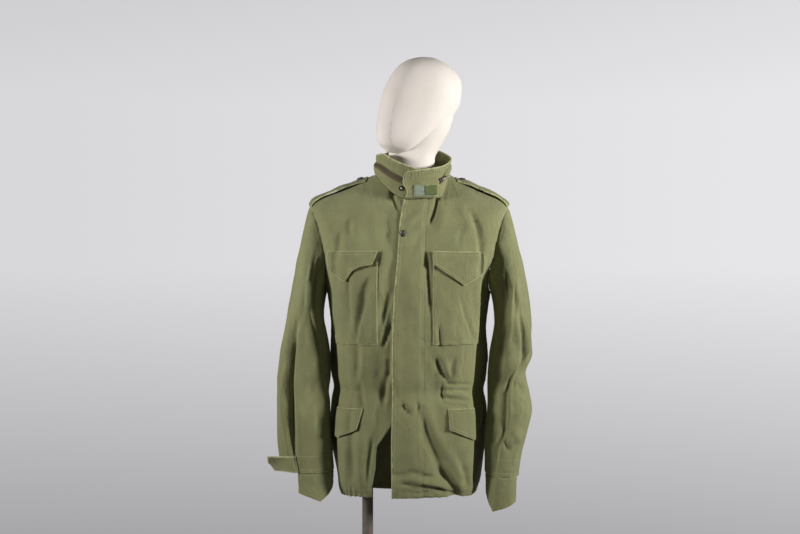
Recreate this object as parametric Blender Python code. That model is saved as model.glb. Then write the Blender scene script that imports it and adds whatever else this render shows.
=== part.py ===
"""A worn field jacket, filled out by a limbless dress form with an egg-shaped head, on a pole and a base.

The cloth pieces are thin walls laid on three kinds of curved surface: the body, the sleeves and the collar.
Each surface is worked out from a short table of rings, and its folds from a short table of creases. A pocket,
flap, strap or button that lies on a panel takes its points from the same surface, moved outwards.
Metres, +Z up, the jacket faces -Y, and +X is the wearer's left. The origin is under the pole, on the floor.
"""

import math

import bmesh
import bpy
import numpy as np
from mathutils import Matrix, Vector

# ---------------------------------------------------------------- driving dimensions, in metres
WALL = 0.0018  # shell and lining together
DOUBLE_WALL = 0.0024  # a flap or strap of two layers
COLLAR_WALL = 0.0030  # collar with the hood packed in it
SEAM_GAP = 0.0003
LAYER_GAP = 0.0009  # between a panel and what lies on it
GARMENT_X = 0.095  # the jacket hangs this far to the side of the pole
CENTRE_FRONT_X = -0.009  # the closed front sits a little to the wearer's right
ARMHOLE_FRONT = 0.072  # how far the armhole cuts into the front, from the side line
ARMHOLE_BACK = 0.070
ARMHOLE_CORNER = 0.85  # under 1, its ends are a little squarer than an ellipse's
ARMHOLE_LEVEL_GAP = 0.003  # the seam's gap at its ends, in levels
POLE_RADIUS = 0.0125
BASE_RADIUS = 0.190
BASE_THICKNESS = 0.008


def table(columns, rows):
    """A short table as a dictionary of named columns."""
    names = columns.split()
    return {name: np.array([row[i] for row in rows], float) for i, name in enumerate(names)}


# Rings round the body, in superellipses of the given corner (2 is an ellipse).
# Level 0 is the hem, 1 the bottom of the armhole, 2 the shoulder's tip and 3 the neck seam.
BODY_RINGS = table(
    "level z_front z_side z_back half_width front back corner shift",
    [
        (0.00, 0.812, 0.806, 0.792, 0.158, 0.112, 0.122, 2.5, 0.000),
        (0.08, 0.840, 0.836, 0.826, 0.169, 0.122, 0.130, 2.5, 0.000),
        (0.30, 0.930, 0.928, 0.925, 0.176, 0.130, 0.134, 2.5, 0.000),
        (0.54, 1.040, 1.040, 1.040, 0.170, 0.124, 0.124, 2.5, 0.000),
        (0.80, 1.160, 1.160, 1.160, 0.178, 0.134, 0.130, 2.4, 0.000),
        (1.00, 1.262, 1.262, 1.262, 0.188, 0.138, 0.134, 2.4, 0.000),
        (1.50, 1.345, 1.362, 1.362, 0.212, 0.130, 0.128, 2.4, 0.000),
        (2.00, 1.404, 1.457, 1.440, 0.228, 0.108, 0.104, 2.3, 0.000),
        (2.50, 1.442, 1.500, 1.492, 0.156, 0.088, 0.080, 2.2, 0.003),
        (3.00, 1.470, 1.532, 1.528, 0.085, 0.074, 0.064, 2.1, 0.007),
    ],
)

# Rings down each sleeve: its outer and inner edge seen from the front, half its depth, and how far it swings.
# The last ring but one is the cuff; the one below it is only for the hand guard, which hangs out of the cuff.
SLEEVE_COLUMNS = "outer_x outer_z inner_x inner_z half_depth centre_y"
SLEEVE_RINGS = {
    "left": table(
        SLEEVE_COLUMNS,
        [
            (0.228, 1.455, 0.196, 1.258, 0.072, 0.000),
            (0.240, 1.438, 0.198, 1.240, 0.080, -0.001),
            (0.248, 1.385, 0.198, 1.215, 0.083, -0.003),
            (0.260, 1.320, 0.196, 1.180, 0.082, -0.005),
            (0.272, 1.245, 0.193, 1.140, 0.079, -0.008),
            (0.281, 1.175, 0.190, 1.105, 0.075, -0.012),
            (0.282, 1.125, 0.188, 1.075, 0.072, -0.015),
            (0.266, 1.080, 0.188, 1.048, 0.069, -0.018),
            (0.274, 1.035, 0.188, 1.015, 0.068, -0.022),
            (0.279, 1.000, 0.186, 0.985, 0.067, -0.026),
            (0.268, 0.950, 0.181, 0.945, 0.064, -0.031),
            (0.255, 0.900, 0.177, 0.900, 0.059, -0.036),
            (0.248, 0.852, 0.174, 0.856, 0.055, -0.040),
            (0.242, 0.750, 0.171, 0.758, 0.053, -0.048),
        ],
    ),
    "right": table(
        SLEEVE_COLUMNS,
        [
            (0.228, 1.455, 0.196, 1.258, 0.072, 0.000),
            (0.239, 1.438, 0.198, 1.240, 0.080, -0.001),
            (0.247, 1.385, 0.198, 1.215, 0.083, -0.003),
            (0.257, 1.320, 0.195, 1.180, 0.082, -0.005),
            (0.270, 1.245, 0.191, 1.140, 0.079, -0.008),
            (0.285, 1.175, 0.188, 1.105, 0.075, -0.012),
            (0.295, 1.120, 0.188, 1.070, 0.073, -0.015),
            (0.300, 1.060, 0.189, 1.030, 0.071, -0.019),
            (0.300, 1.000, 0.188, 0.985, 0.068, -0.024),
            (0.299, 0.940, 0.184, 0.940, 0.064, -0.029),
            (0.294, 0.895, 0.178, 0.895, 0.058, -0.034),
            (0.286, 0.862, 0.174, 0.862, 0.054, -0.037),
            (0.278, 0.762, 0.171, 0.762, 0.052, -0.044),
        ],
    ),
}
SLEEVE_CORNER = 2.2
ARMHOLE_STEPS = 9  # facets from the underarm to the shoulder's tip; a sleeve has twice as many round it
CAP_SHARE = 0.16  # the part of a sleeve's length over which the armhole's outline turns into a round tube

# The collar goes round the neck from its under end, on the wearer's left of the centre front, by the wearer's
# right, the back and the wearer's left, to the end that laps over it. turn is in degrees from the front.
COLLAR_START, COLLAR_END = -13.0, 374.0
COLLAR_RIM = table(
    "turn half_width depth z bulge",
    [
        (-13, 0.088, 0.092, 1.549, 0.001),
        (30, 0.088, 0.092, 1.561, 0.006),
        (60, 0.087, 0.088, 1.577, 0.008),
        (95, 0.086, 0.080, 1.577, 0.004),
        (180, 0.084, 0.070, 1.606, 0.006),
        (270, 0.085, 0.080, 1.570, 0.004),
        (315, 0.087, 0.090, 1.547, 0.002),
        (345, 0.088, 0.092, 1.538, 0.001),
        (374, 0.088, 0.092, 1.531, 0.000),
    ],
)
COLLAR_RIM_CENTRE = 0.012
# The end that laps over leaves the neck seam, and hangs squarely in front of it.
OVER_HALF_WIDTH, OVER_DEPTH, OVER_CORNER, OVER_Z = 0.090, 0.085, 2.8, 1.474
OVER_FROM, OVER_TO = 262.0, 315.0
OVER_DROP_FROM, OVER_DROP_TO = 298.0, 333.0
COLLAR_LAP = 0.0072  # how far that end stands off
COLLAR_LAP_ANGLE = 75.0  # and over what angle it gets there
COLLAR_ROLL_TOP = 2 / 3  # the share of its height below which it bulges
COLLAR_LIFT_WAY = np.array([1, 1, 0.3])  # the bulge and the lap move it outwards more than up
COLLAR_UP = [0, 0.2, 0.42, 0.6, 0.8, 1]
COLLAR_STEPS = 37

# Creases: from one place to another, as (across, height) on the surface; a negative depth is a trough.
# Across is the length along the cloth from the centre front on the body, towards the wearer's left.
CREASE_COLUMNS = "across_0 height_0 across_1 height_1 width depth"
BODY_CREASES = table(
    CREASE_COLUMNS,
    [
        (-0.052, 1.110, -0.078, 0.900, 0.020, -0.0070),
        (-0.030, 1.150, -0.050, 1.000, 0.016, 0.0040),
        (0.066, 1.120, 0.076, 0.880, 0.020, -0.0065),
        (0.080, 0.920, 0.160, 0.840, 0.018, -0.0045),
        (0.250, 1.180, 0.240, 0.830, 0.024, -0.0060),
        (-0.245, 1.180, -0.235, 0.830, 0.024, -0.0060),
        (0.338, 1.410, 0.346, 1.120, 0.012, 0.0050),
        (-0.338, 1.410, -0.346, 1.120, 0.012, 0.0050),
        (0.364, 1.400, 0.372, 1.100, 0.014, -0.0035),
        (-0.364, 1.400, -0.372, 1.100, 0.014, -0.0035),
        (0.330, 1.060, 0.350, 0.830, 0.024, -0.0060),
        (-0.330, 1.080, -0.340, 0.830, 0.024, -0.0060),
        (0.440, 1.100, 0.420, 0.830, 0.026, 0.0050),
        (-0.410, 1.060, -0.430, 0.830, 0.024, 0.0050),
        (0.490, 1.080, 0.480, 0.850, 0.022, -0.0045),
        (-0.480, 1.050, 0.480, 1.035, 0.020, -0.0050),
    ],
)
# On a sleeve, across is the length from its front line, towards its outer side.
SLEEVE_CREASES = {
    "left": table(
        CREASE_COLUMNS,
        [
            (-0.030, 1.300, 0.060, 1.150, 0.018, -0.0050),
            (-0.020, 1.200, 0.040, 1.060, 0.016, -0.0070),
            (0.090, 1.130, 0.000, 1.060, 0.014, -0.0080),
            (-0.040, 1.090, 0.050, 1.020, 0.014, -0.0060),
            (0.050, 1.010, -0.020, 0.940, 0.015, -0.0060),
            (-0.180, 1.120, -0.110, 1.060, 0.016, -0.0060),
            (-0.150, 1.240, -0.120, 1.060, 0.018, -0.0050),
        ],
    ),
    "right": table(
        CREASE_COLUMNS,
        [
            (0.032, 1.150, 0.016, 0.945, 0.012, -0.0095),
            (0.062, 1.200, 0.040, 0.960, 0.018, 0.0040),
            (-0.030, 1.300, 0.010, 1.120, 0.018, -0.0050),
            (-0.040, 1.080, 0.000, 1.010, 0.016, -0.0050),
            (-0.150, 1.130, -0.090, 1.050, 0.016, -0.0060),
            (-0.170, 1.060, -0.110, 0.980, 0.016, -0.0050),
        ],
    ),
}

# Patch pockets and flaps on the front. across is from the centre front, on either side of it.
CHEST_POCKET_IN, CHEST_POCKET_OUT = 0.060, 0.178
CHEST_POCKET_BOTTOM, CHEST_POCKET_TOP = 1.150, 1.330
POCKET_STAND = 0.0022  # how far a bellows pocket's front stands off the panel
POCKET_MARGIN, FLAP_MARGIN = 0.004, 0.003  # between a pocket or its flap and the armhole seam
ARMHOLE_CROWDING = 0.002  # keeps the columns of a held-in edge apart
# Each flap: its inner and outer end, its top, and how far it hangs at its sides and at its point.
CHEST_FLAP = (0.059, 0.179, 1.353, 0.036, 0.072)
CHEST_FLAP_LIFT = LAYER_GAP + POCKET_STAND + WALL + LAYER_GAP
LOWER_FLAP = (0.095, 0.225, 1.008, 0.046, 0.070)

# The storm flap: its free edge and its stitched edge, from the centre front, at each height.
STORM_FLAP = table(
    "z edge stitched",
    [
        (0.804, -0.030, 0.034),
        (0.920, -0.031, 0.034),
        (1.030, -0.029, 0.034),
        (1.140, -0.029, 0.034),
        (1.250, -0.025, 0.036),
        (1.340, -0.015, 0.040),
        (1.400, -0.009, 0.043),
        (1.462, -0.004, 0.046),
    ],
)
# The wearer's right front falls away under the storm flap, and opens at the hem.
RIGHT_FRONT_EDGE = table(
    "z edge",
    [
        (0.804, -0.073),
        (0.830, -0.075),
        (0.850, -0.072),
        (0.880, -0.067),
        (0.905, -0.066),
        (0.925, -0.064),
        (0.942, -0.052),
        (0.965, -0.036),
        (1.000, -0.018),
        (1.050, -0.006),
        (1.470, -0.004),
    ],
)
STORM_FLAP_TOP = 2.95  # in levels, just under the neck seam
FRONT_SNAP_HEIGHT, FRONT_SNAP_INSET = 1.392, 0.009
SNAP_RADIUS, SNAP_THICKNESS = 0.0072, 0.0028

# Shoulder straps, in levels along the shoulder and metres across it.
EPAULETTE_START, EPAULETTE_END = 2.03, 2.90
EPAULETTE_POINT = 0.09  # the share of its length that its point takes
EPAULETTE_WIDE, EPAULETTE_NARROW = 0.050, 0.040
EPAULETTE_FORWARD = 0.012  # its middle lies this far in front of the shoulder seam
EPAULETTE_STAND = 0.0050
EPAULETTE_BUTTON_SHARE = 0.86
BUTTON_RADIUS, BUTTON_THICKNESS = 0.0075, 0.0025

# Cuffs.
GUARD_INSIDE = 0.015  # sewn in over this length
GUARD_LIFT = -2 * WALL - 1.6 * LAYER_GAP  # inside the sleeve's wall
# How far each hand guard hangs out of its cuff, at its outer end, its point and its inner end.
GUARDS = {
    "left": table("angle drop", [(32, 0.054), (129, 0.080), (178, 0.044)]),
    "right": table("angle drop", [(72, 0.044), (120, 0.064), (178, 0.034)]),
}
TAB_LENGTH, TAB_WIDTH, TAB_POINT = 0.074, 0.036, 0.009
TAB_FREE = 0.052  # the end of the right cuff's tab that stands free
TAB_START = {"left": 330, "right": 75}  # the angle round the sleeve where each is sewn on
TAB_HIGH = 0.001  # its lower edge above the cuff's
TAB_ARC_RADIUS = 0.056  # the sleeve's mean radius at the cuff

# Things on the collar, by the length from its over end and the share of its height.
ZIP_TAPE = 0.0008
ZIP_UP = [0.42, 0.50, 0.60]
ZIP_MIDDLE = 0.52
ZIP_SLIDER_ACROSS = 0.080
PATCH_FROM, PATCH_TO, PATCH_UP, PATCH_THICK = 0.080, 0.026, [0.04, 0.20, 0.40], 0.0012
TAB_FROM, TAB_TO, TAB_UP, TAB_THICK = 0.078, 0.052, [0.08, 0.20, 0.35], 0.0016
TAB_LIFT = LAYER_GAP + 0.0018
COLLAR_SNAP_FROM_END, COLLAR_SNAP_UP, COLLAR_SNAP_RADIUS = 0.044, 0.28, 0.006

# The zip's slider and its pull.
SLIDER_LENGTH, SLIDER_WIDTH, SLIDER_THICK = 0.0100, 0.0085, 0.0026
SLIDER_LIFT = ZIP_TAPE + 1.3 * LAYER_GAP
PIN_RADIUS, PIN_CLEAR, PIN_HEIGHT = 0.0006, 0.0004, 0.0048
EAR_OFFSET, EAR_LENGTH, EAR_THICK = 0.0028, 0.0034, 0.0010
EAR_SUNK, EAR_ABOVE_PIN = 0.0004, 0.0012
PULL_LENGTH, PULL_WIDTH, PULL_THICK = 0.022, 0.0055, 0.0011
PULL_EYE = PIN_RADIUS + PIN_CLEAR + 0.6 * PULL_THICK
PULL_HALF_NECK = EAR_OFFSET - EAR_THICK / 2 - PIN_CLEAR  # what fits between the ears

# The dress form, its head and its stand.
FORM_CLEAR, FORM_TOUCH = 0.0120, 0.0012  # inside the jacket, and under its shoulders
FORM_LEVELS = [
    0.50, 0.54, 0.60, 0.73, 0.88, 1.05, 1.25, 1.45, 1.65, 1.80, 1.92, 2.02, 2.15, 2.30, 2.50, 2.70, 2.88
]
FORM_SHOULDER_FROM, FORM_SHOULDER_TO = 2.05, 2.80  # the levels between which the cloth rests on the form
FORM_SHOULDER_WIDTH = 0.050  # and how far from the shoulder seam it does
FORM_BOTTOM_Z = 1.020
NECK_CENTRE_X, NECK_CENTRE_Y = 0.006, 0.000
NECK_HALF_WIDTH, NECK_HALF_DEPTH = 0.054, 0.050
NECK_JOINT_Z = 1.540
NECK_RINGS = table(
    "z grow shift_y",
    [
        (NECK_JOINT_Z + SEAM_GAP, 1.00, 0.000),
        (1.570, 0.97, 0.002),
        (1.640, 1.00, 0.010),
    ],
)
HEAD_CENTRE_X, HEAD_CENTRE_Y, HEAD_CENTRE_Z = 0.022, -0.004, 1.686
HEAD_TURN, HEAD_LEAN = 50, 14
HEAD_PROFILE = table(
    "height front back half_width",
    [
        (-0.118, -0.060, -0.010, 0.015),
        (-0.105, -0.078, 0.000, 0.036),
        (-0.085, -0.088, 0.020, 0.050),
        (-0.050, -0.094, 0.055, 0.062),
        (0.000, -0.096, 0.088, 0.073),
        (0.035, -0.090, 0.098, 0.0755),
        (0.072, -0.076, 0.094, 0.069),
        (0.095, -0.056, 0.077, 0.057),
        (0.111, -0.028, 0.045, 0.036),
        (0.118, -0.004, 0.016, 0.012),
    ],
)
SOCKET_RADIUS, SOCKET_Z = 0.036, 1.006

FOLD_SOFTEN = 0.25  # the share of a crease's length over which each of its ends fades


# ---------------------------------------------------------------- numbers to curves
def smooth_columns(rings, key, at):
    """Reads every column of a table at places along its column `key`, by a curve that never overshoots."""
    knots = rings[key]
    steps = np.diff(knots)
    at = np.clip(at, knots[0], knots[-1])
    place = np.clip(np.searchsorted(knots, at, side="right") - 1, 0, len(steps) - 1)
    t = (at - knots[place]) / steps[place]
    read = {}
    for name, values in rings.items():
        rise = np.diff(values) / steps
        slope = np.concatenate([rise[:1], np.zeros(len(rise) - 1), rise[-1:]])
        same_way = rise[1:] * rise[:-1] > 0
        both = rise[1:][same_way] + rise[:-1][same_way]
        slope[1:-1][same_way] = 2 * rise[1:][same_way] * rise[:-1][same_way] / both
        low, high = values[place], values[place + 1]
        read[name] = (
            low + (high - low) * ease(t)
            + steps[place] * (t * (1 - t) ** 2 * slope[place] - t * t * (1 - t) * slope[place + 1])
        )
    return read


def power(value, corner):
    """A sine or cosine raised so that an ellipse becomes a rounded box; corner 2 leaves it an ellipse."""
    return np.sign(value) * np.abs(value) ** (2 / corner)


def ease(t):
    t = np.clip(t, 0, 1)
    return t * t * (3 - 2 * t)


def crease_depth(creases, across, height):
    """How far the creases lift (or sink) each point of a surface, given where the point lies on it."""
    lift = np.zeros_like(across)
    for i in range(len(creases["depth"])):
        start = np.array([creases["across_0"][i], creases["height_0"][i]])
        run = np.array([creases["across_1"][i], creases["height_1"][i]]) - start
        length = np.hypot(*run)
        along = ((across - start[0]) * run[0] + (height - start[1]) * run[1]) / length**2
        off = ((across - start[0]) * run[1] - (height - start[1]) * run[0]) / length
        starts = ease((along + FOLD_SOFTEN) / (2 * FOLD_SOFTEN))
        ends = ease((1 + FOLD_SOFTEN - along) / (2 * FOLD_SOFTEN))
        lift += creases["depth"][i] * np.exp(-((off / creases["width"][i]) ** 2)) * starts * ends
    return lift


# ---------------------------------------------------------------- surfaces
class Surface:
    """A curved sheet known on a fine grid of points [row, column]; outward is 1 or -1, for its outer side."""

    def __init__(self, points, outward, closed):
        self.outward, self.closed = outward, closed
        self.set_points(points)

    def set_points(self, points):
        self.points = points
        if self.closed:
            wide = np.concatenate([points[:, -2:-1], points, points[:, 1:2]], axis=1)
            along = np.gradient(wide, axis=1)[:, 1:-1]
        else:
            along = np.gradient(points, axis=1)
        normals = np.cross(along, np.gradient(points, axis=0)) * self.outward
        self.normals = normals / np.linalg.norm(normals, axis=2, keepdims=True)

    def crease(self, creases, across, height):
        self.set_points(self.points + self.normals * crease_depth(creases, across, height)[..., None])

    def read(self, grid, row, column):
        rows, columns = grid.shape[:2]
        row, column = np.clip(row, 0, rows - 1), np.clip(column, 0, columns - 1)
        r, c = min(int(row), rows - 2), min(int(column), columns - 2)
        fr, fc = row - r, column - c
        low = grid[r, c] * (1 - fc) + grid[r, c + 1] * fc
        high = grid[r + 1, c] * (1 - fc) + grid[r + 1, c + 1] * fc
        return low * (1 - fr) + high * fr

    def at(self, row, column, lift=0.0):
        """The point there, moved `lift` outwards."""
        return self.read(self.points, row, column) + lift * self.read(self.normals, row, column)


class Body(Surface):
    """The torso, as rings by level, each measured by the length along the cloth from the centre front."""

    ROWS, COLUMNS = 151, 321

    def __init__(self):
        self.levels = np.linspace(0, 3, self.ROWS)
        rings = smooth_columns(BODY_RINGS, "level", self.levels)
        angles = np.radians(np.linspace(-180, 180, 1441))
        sine, cosine = np.sin(angles), np.cos(angles)
        points = np.empty((self.ROWS, self.COLUMNS, 3))
        across = np.empty((self.ROWS, self.COLUMNS))
        self.girth = np.empty((self.ROWS, 2))  # from the centre front to the centre back, right and left
        self.side = np.empty((self.ROWS, 2))  # from the centre front to the side line
        for i in range(self.ROWS):
            ring = {name: values[i] for name, values in rings.items()}
            depth = np.where(cosine > 0, ring["front"], ring["back"])
            x = ring["half_width"] * power(sine, ring["corner"])
            y = -depth * power(cosine, ring["corner"])
            curve = np.stack([x, y, ring_height(ring, cosine)], axis=1)
            length = np.concatenate([[0], np.cumsum(np.linalg.norm(np.diff(curve, axis=0), axis=1))])
            in_front = cosine > 0.2
            length -= np.interp(CENTRE_FRONT_X, x[in_front], length[in_front])
            self.girth[i] = -length[0], length[-1]
            right_side, left_side = np.interp([-90, 90], np.degrees(angles), length)
            self.side[i] = -right_side, left_side
            share = np.linspace(-1, 1, self.COLUMNS)
            across[i] = np.where(share < 0, share * self.girth[i, 0], share * self.girth[i, 1])
            for axis in range(3):
                points[i, :, axis] = np.interp(across[i], length, curve[:, axis])
            points[i, :, 0] += ring["shift"]
        points[..., 0] += GARMENT_X
        super().__init__(points, outward=1, closed=True)
        self.smooth = Surface(self.points, outward=1, closed=True)
        self.front_heights = rings["z_front"]
        self.crease(BODY_CREASES, across, points[..., 2])

    def row(self, level):
        return level / 3 * (self.ROWS - 1)

    def front_height(self, level):
        return float(np.interp(level, self.levels, self.front_heights))

    def level_at(self, height):
        """The level of the ring whose front lies at that height."""
        return np.interp(height, self.front_heights, self.levels)

    def column(self, across, level):
        side = 0 if across < 0 else 1
        girth = np.interp(level, self.levels, self.girth[:, side])
        return (across / girth + 1) / 2 * (self.COLUMNS - 1)

    def side_line(self, level, side):
        """The length from the centre front to the side line, on side -1 (right) or 1 (left)."""
        return side * np.interp(level, self.levels, self.side[:, (side + 1) // 2])

    def centre_back(self, level, side):
        return side * np.interp(level, self.levels, self.girth[:, (side + 1) // 2])

    def on(self, across, level, lift=0.0):
        return self.at(self.row(level), self.column(across, level), lift)

    def normal(self, across, level):
        return self.read(self.normals, self.row(level), self.column(across, level))


def armhole_bite(level, depth):
    """How far the armhole's edge lies from the side line at a level between 1 and 2."""
    t = np.clip(level - 1, 0, 1)
    return depth * (2 * math.sqrt(t * (1 - t))) ** ARMHOLE_CORNER


class Sleeve(Surface):
    """A sleeve, as rings from the armhole down. Column 0 is its outer side, and its front comes next."""

    ROWS, COLUMNS = 181, 193

    def __init__(self, body, name):
        self.side = 1 if name == "left" else -1
        rings = SLEEVE_RINGS[name]
        middle_x = (rings["outer_x"] + rings["inner_x"]) / 2
        middle_z = (rings["outer_z"] + rings["inner_z"]) / 2
        middle = np.stack([middle_x, middle_z], axis=1)
        far = np.concatenate([[0], np.cumsum(np.linalg.norm(np.diff(middle, axis=0), axis=1))])
        self.length = far[-1]
        self.cuff = far[-2] / far[-1]
        rings = smooth_columns({"far": far, **rings}, "far", np.linspace(0, far[-1], self.ROWS))
        angles = np.radians(np.linspace(0, 360, self.COLUMNS))
        across, along = power(np.cos(angles), SLEEVE_CORNER), power(np.sin(angles), SLEEVE_CORNER)
        points = np.empty((self.ROWS, self.COLUMNS, 3))
        for i in range(self.ROWS):
            ring = {key: values[i] for key, values in rings.items()}
            half_x = (ring["outer_x"] - ring["inner_x"]) / 2
            half_z = (ring["outer_z"] - ring["inner_z"]) / 2
            points[i, :, 0] = (ring["outer_x"] + ring["inner_x"]) / 2 + across * half_x
            points[i, :, 1] = ring["centre_y"] - along * ring["half_depth"]
            points[i, :, 2] = (ring["outer_z"] + ring["inner_z"]) / 2 + across * half_z
        points[..., 0] = points[..., 0] * self.side + GARMENT_X
        armhole = [self.armhole(body, angle) for angle in angles]
        turned = ease(np.linspace(0, 1 / CAP_SHARE, self.ROWS))[:, None, None]
        edge = np.array([body.on(across, level) for across, level in armhole])
        super().__init__(edge * (1 - turned) + points * turned, outward=self.side, closed=True)
        quarter = (self.COLUMNS - 1) // 4
        steps = np.diff(self.points, axis=1, prepend=self.points[:, :1])
        arc = np.cumsum(np.linalg.norm(steps, axis=2), axis=1)
        outwards = arc[:, quarter : quarter + 1] - arc
        girth = arc[:, -1:]
        across = np.where(outwards < -girth / 2, outwards + girth, outwards)
        heights = np.repeat(self.points.mean(axis=1)[:, 2:3], self.COLUMNS, axis=1)
        self.crease(SLEEVE_CREASES[name], across, heights)
        # Where the sleeve carries on from the body, its wall faces as the body's does, so they meet edge on.
        edge_normals = np.array([body.normal(across, level) for across, level in armhole])
        same_way = (edge_normals * self.normals[0]).sum(axis=1)
        share = (1 - turned) * ease(2 * same_way - 0.4)[None, :, None]
        normals = edge_normals * share + self.normals * (1 - share)
        self.normals = normals / np.linalg.norm(normals, axis=2, keepdims=True)

    def armhole(self, body, angle):
        """A place just inside the armhole's edge; angle 0 is the shoulder's tip and pi the underarm."""
        level = 1.5 + (0.5 - ARMHOLE_LEVEL_GAP) * math.cos(angle)
        forwards = math.sin(angle)
        depth = ARMHOLE_FRONT if forwards > 0 else ARMHOLE_BACK
        bite = depth * abs(forwards) ** ARMHOLE_CORNER - SEAM_GAP * abs(forwards)
        return body.side_line(level, self.side) - self.side * math.copysign(bite, forwards), level

    def on(self, share_down, angle, lift=0.0):
        return self.at(share_down * (self.ROWS - 1), angle % 360 / 360 * (self.COLUMNS - 1), lift)


def ring_height(ring, cosine):
    """The height round a ring that has its own at the front, the sides and the back."""
    return (
        ring["z_side"]
        + (ring["z_front"] - ring["z_side"]) * np.maximum(cosine, 0) ** 2
        + (ring["z_back"] - ring["z_side"]) * np.minimum(cosine, 0) ** 2
    )


class Collar(Surface):
    """The stand collar: row 0 is the neck seam, column 0 the under end, the last column the lapping end."""

    ROWS, COLUMNS = 41, 241

    def __init__(self):
        turn = np.linspace(COLLAR_START, COLLAR_END, self.COLUMNS)
        sine, cosine = -np.sin(np.radians(turn)), np.cos(np.radians(turn))
        rim = smooth_columns(COLLAR_RIM, "turn", turn)
        rim_x = COLLAR_RIM_CENTRE + rim["half_width"] * sine
        top = np.stack([rim_x, -rim["depth"] * cosine, rim["z"]], axis=1)
        neck = {name: values[-1] for name, values in BODY_RINGS.items()}
        seam = np.stack(
            [
                neck["shift"] + neck["half_width"] * power(sine, neck["corner"]),
                -np.where(cosine > 0, neck["front"], neck["back"]) * power(cosine, neck["corner"]),
                ring_height(neck, cosine) + SEAM_GAP,
            ],
            axis=1,
        )
        over = np.stack(
            [
                neck["shift"] + OVER_HALF_WIDTH * power(sine, OVER_CORNER),
                -OVER_DEPTH * power(cosine, OVER_CORNER),
                np.full(self.COLUMNS, OVER_Z),
            ],
            axis=1,
        )
        leaves = ease((turn - OVER_FROM) / (OVER_TO - OVER_FROM))
        drops = ease((turn - OVER_DROP_FROM) / (OVER_DROP_TO - OVER_DROP_FROM))
        leaves = np.stack([leaves, leaves, drops], axis=1)
        foot = seam * (1 - leaves) + over * leaves
        up = np.linspace(0, 1, self.ROWS)[:, None, None]
        points = foot * (1 - up) + top * up + [GARMENT_X, 0, 0]
        super().__init__(points, outward=-1, closed=False)
        lap = COLLAR_LAP * ease((COLLAR_LAP_ANGLE - (COLLAR_END - turn)) / COLLAR_LAP_ANGLE)
        roll = np.sin(math.pi * np.clip(up[..., 0] / COLLAR_ROLL_TOP, 0, 1)) ** 1.5
        lift = lap[None, :] + rim["bulge"][None, :] * roll
        self.set_points(points + self.normals * COLLAR_LIFT_WAY * lift[..., None])
        step = np.linalg.norm(np.diff(points[self.ROWS // 2], axis=0), axis=1)
        self.length = step.sum()

    def on(self, from_over_end, share_up, lift=0.0):
        """A point by the length from the lapping end, and the share of the height above the neck seam."""
        column = (1 - from_over_end / self.length) * (self.COLUMNS - 1)
        return self.at(share_up * (self.ROWS - 1), column, lift)

    def steps(self):
        """Lengths from the lapping end, one for each column of cloth."""
        return spread(self.length, 0, COLLAR_STEPS)

    def frame(self, from_over_end, share_up, lift):
        """Place and directions on the collar: along it towards its over end, up it, and out of it."""
        here = self.on(from_over_end, share_up, lift)
        out = self.on(from_over_end, share_up, lift + 0.01) - here
        along = self.on(from_over_end - 0.005, share_up, lift) - here
        return frame_matrix(here, out, along)


def frame_matrix(place, out, along):
    """A matrix whose Z points out and whose X points along."""
    z = Vector(out).normalized()
    x = Vector(along)
    x = (x - z * x.dot(z)).normalized()
    y = z.cross(x)
    return Matrix.Translation(Vector(place)) @ Matrix((x, y, z)).transposed().to_4x4()


# ---------------------------------------------------------------- objects
def plain_material(name, colour, roughness, metallic):
    material = bpy.data.materials.get(name) or bpy.data.materials.new(name)
    material.use_nodes = True
    shader = material.node_tree.nodes["Principled BSDF"]
    shader.inputs["Base Color"].default_value = (*colour, 1)
    shader.inputs["Roughness"].default_value = roughness
    shader.inputs["Metallic"].default_value = metallic
    return material


MATERIALS = {
    "shell": ("olive_cloth", (0.20, 0.20, 0.10), 0.85, 0.0),
    "zip": ("zip_tape", (0.13, 0.11, 0.06), 0.9, 0.0),
    "hook_tape": ("hook_tape", (0.27, 0.32, 0.26), 0.9, 0.0),
    "loop_tape": ("loop_tape", (0.16, 0.21, 0.08), 0.95, 0.0),
    "metal": ("dark_metal", (0.16, 0.15, 0.13), 0.35, 1.0),
    "button": ("plastic_button", (0.10, 0.11, 0.07), 0.5, 0.0),
    "form": ("form_jersey", (0.84, 0.80, 0.75), 0.8, 0.0),
    "steel": ("stand_steel", (0.22, 0.20, 0.18), 0.35, 1.0),
}


def finish(name, bm, slot):
    """Makes the named object from a closed bmesh, with its faces turned outwards."""
    bmesh.ops.recalc_face_normals(bm, faces=bm.faces)
    mesh = bpy.data.meshes.new(name)
    bm.to_mesh(mesh)
    bm.free()
    mesh.materials.append(plain_material(*MATERIALS[slot]))
    mesh.shade_smooth()
    mesh.set_sharp_from_angle(angle=math.radians(40))
    made = bpy.data.objects.new(name, mesh)
    bpy.context.scene.collection.objects.link(made)
    return made


def sheet(name, across, down, place, wall, slot="shell", lift=0.0):
    """A wall of cloth: a grid of points place(a, d, lift), with its back `wall` behind its front.

    A sheet whose first and last columns meet becomes a tube.
    """
    bm = bmesh.new()
    columns, rows = len(across) - 1, len(down) - 1
    bmesh.ops.create_grid(bm, x_segments=columns, y_segments=rows, size=0.5)
    front = bm.verts.layers.float_vector.new("front")
    back = bm.verts.layers.float_vector.new("back")
    for vert in bm.verts:
        a = across[round((vert.co.x + 0.5) * columns)]
        d = down[round((vert.co.y + 0.5) * rows)]
        vert[front] = Vector(place(a, d, lift + wall))
        vert[back] = Vector(place(a, d, lift))
    for vert in bm.verts:
        vert.co = vert[front]
    bmesh.ops.remove_doubles(bm, verts=bm.verts, dist=1e-6)
    outer = bm.verts[:]
    made = bmesh.ops.extrude_face_region(bm, geom=bm.verts[:] + bm.edges[:] + bm.faces[:], use_keep_orig=True)
    for vert in made["geom"]:
        if isinstance(vert, bmesh.types.BMVert) and vert not in outer:
            vert.co = vert[back]
    return finish(name, bm, slot)


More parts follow.
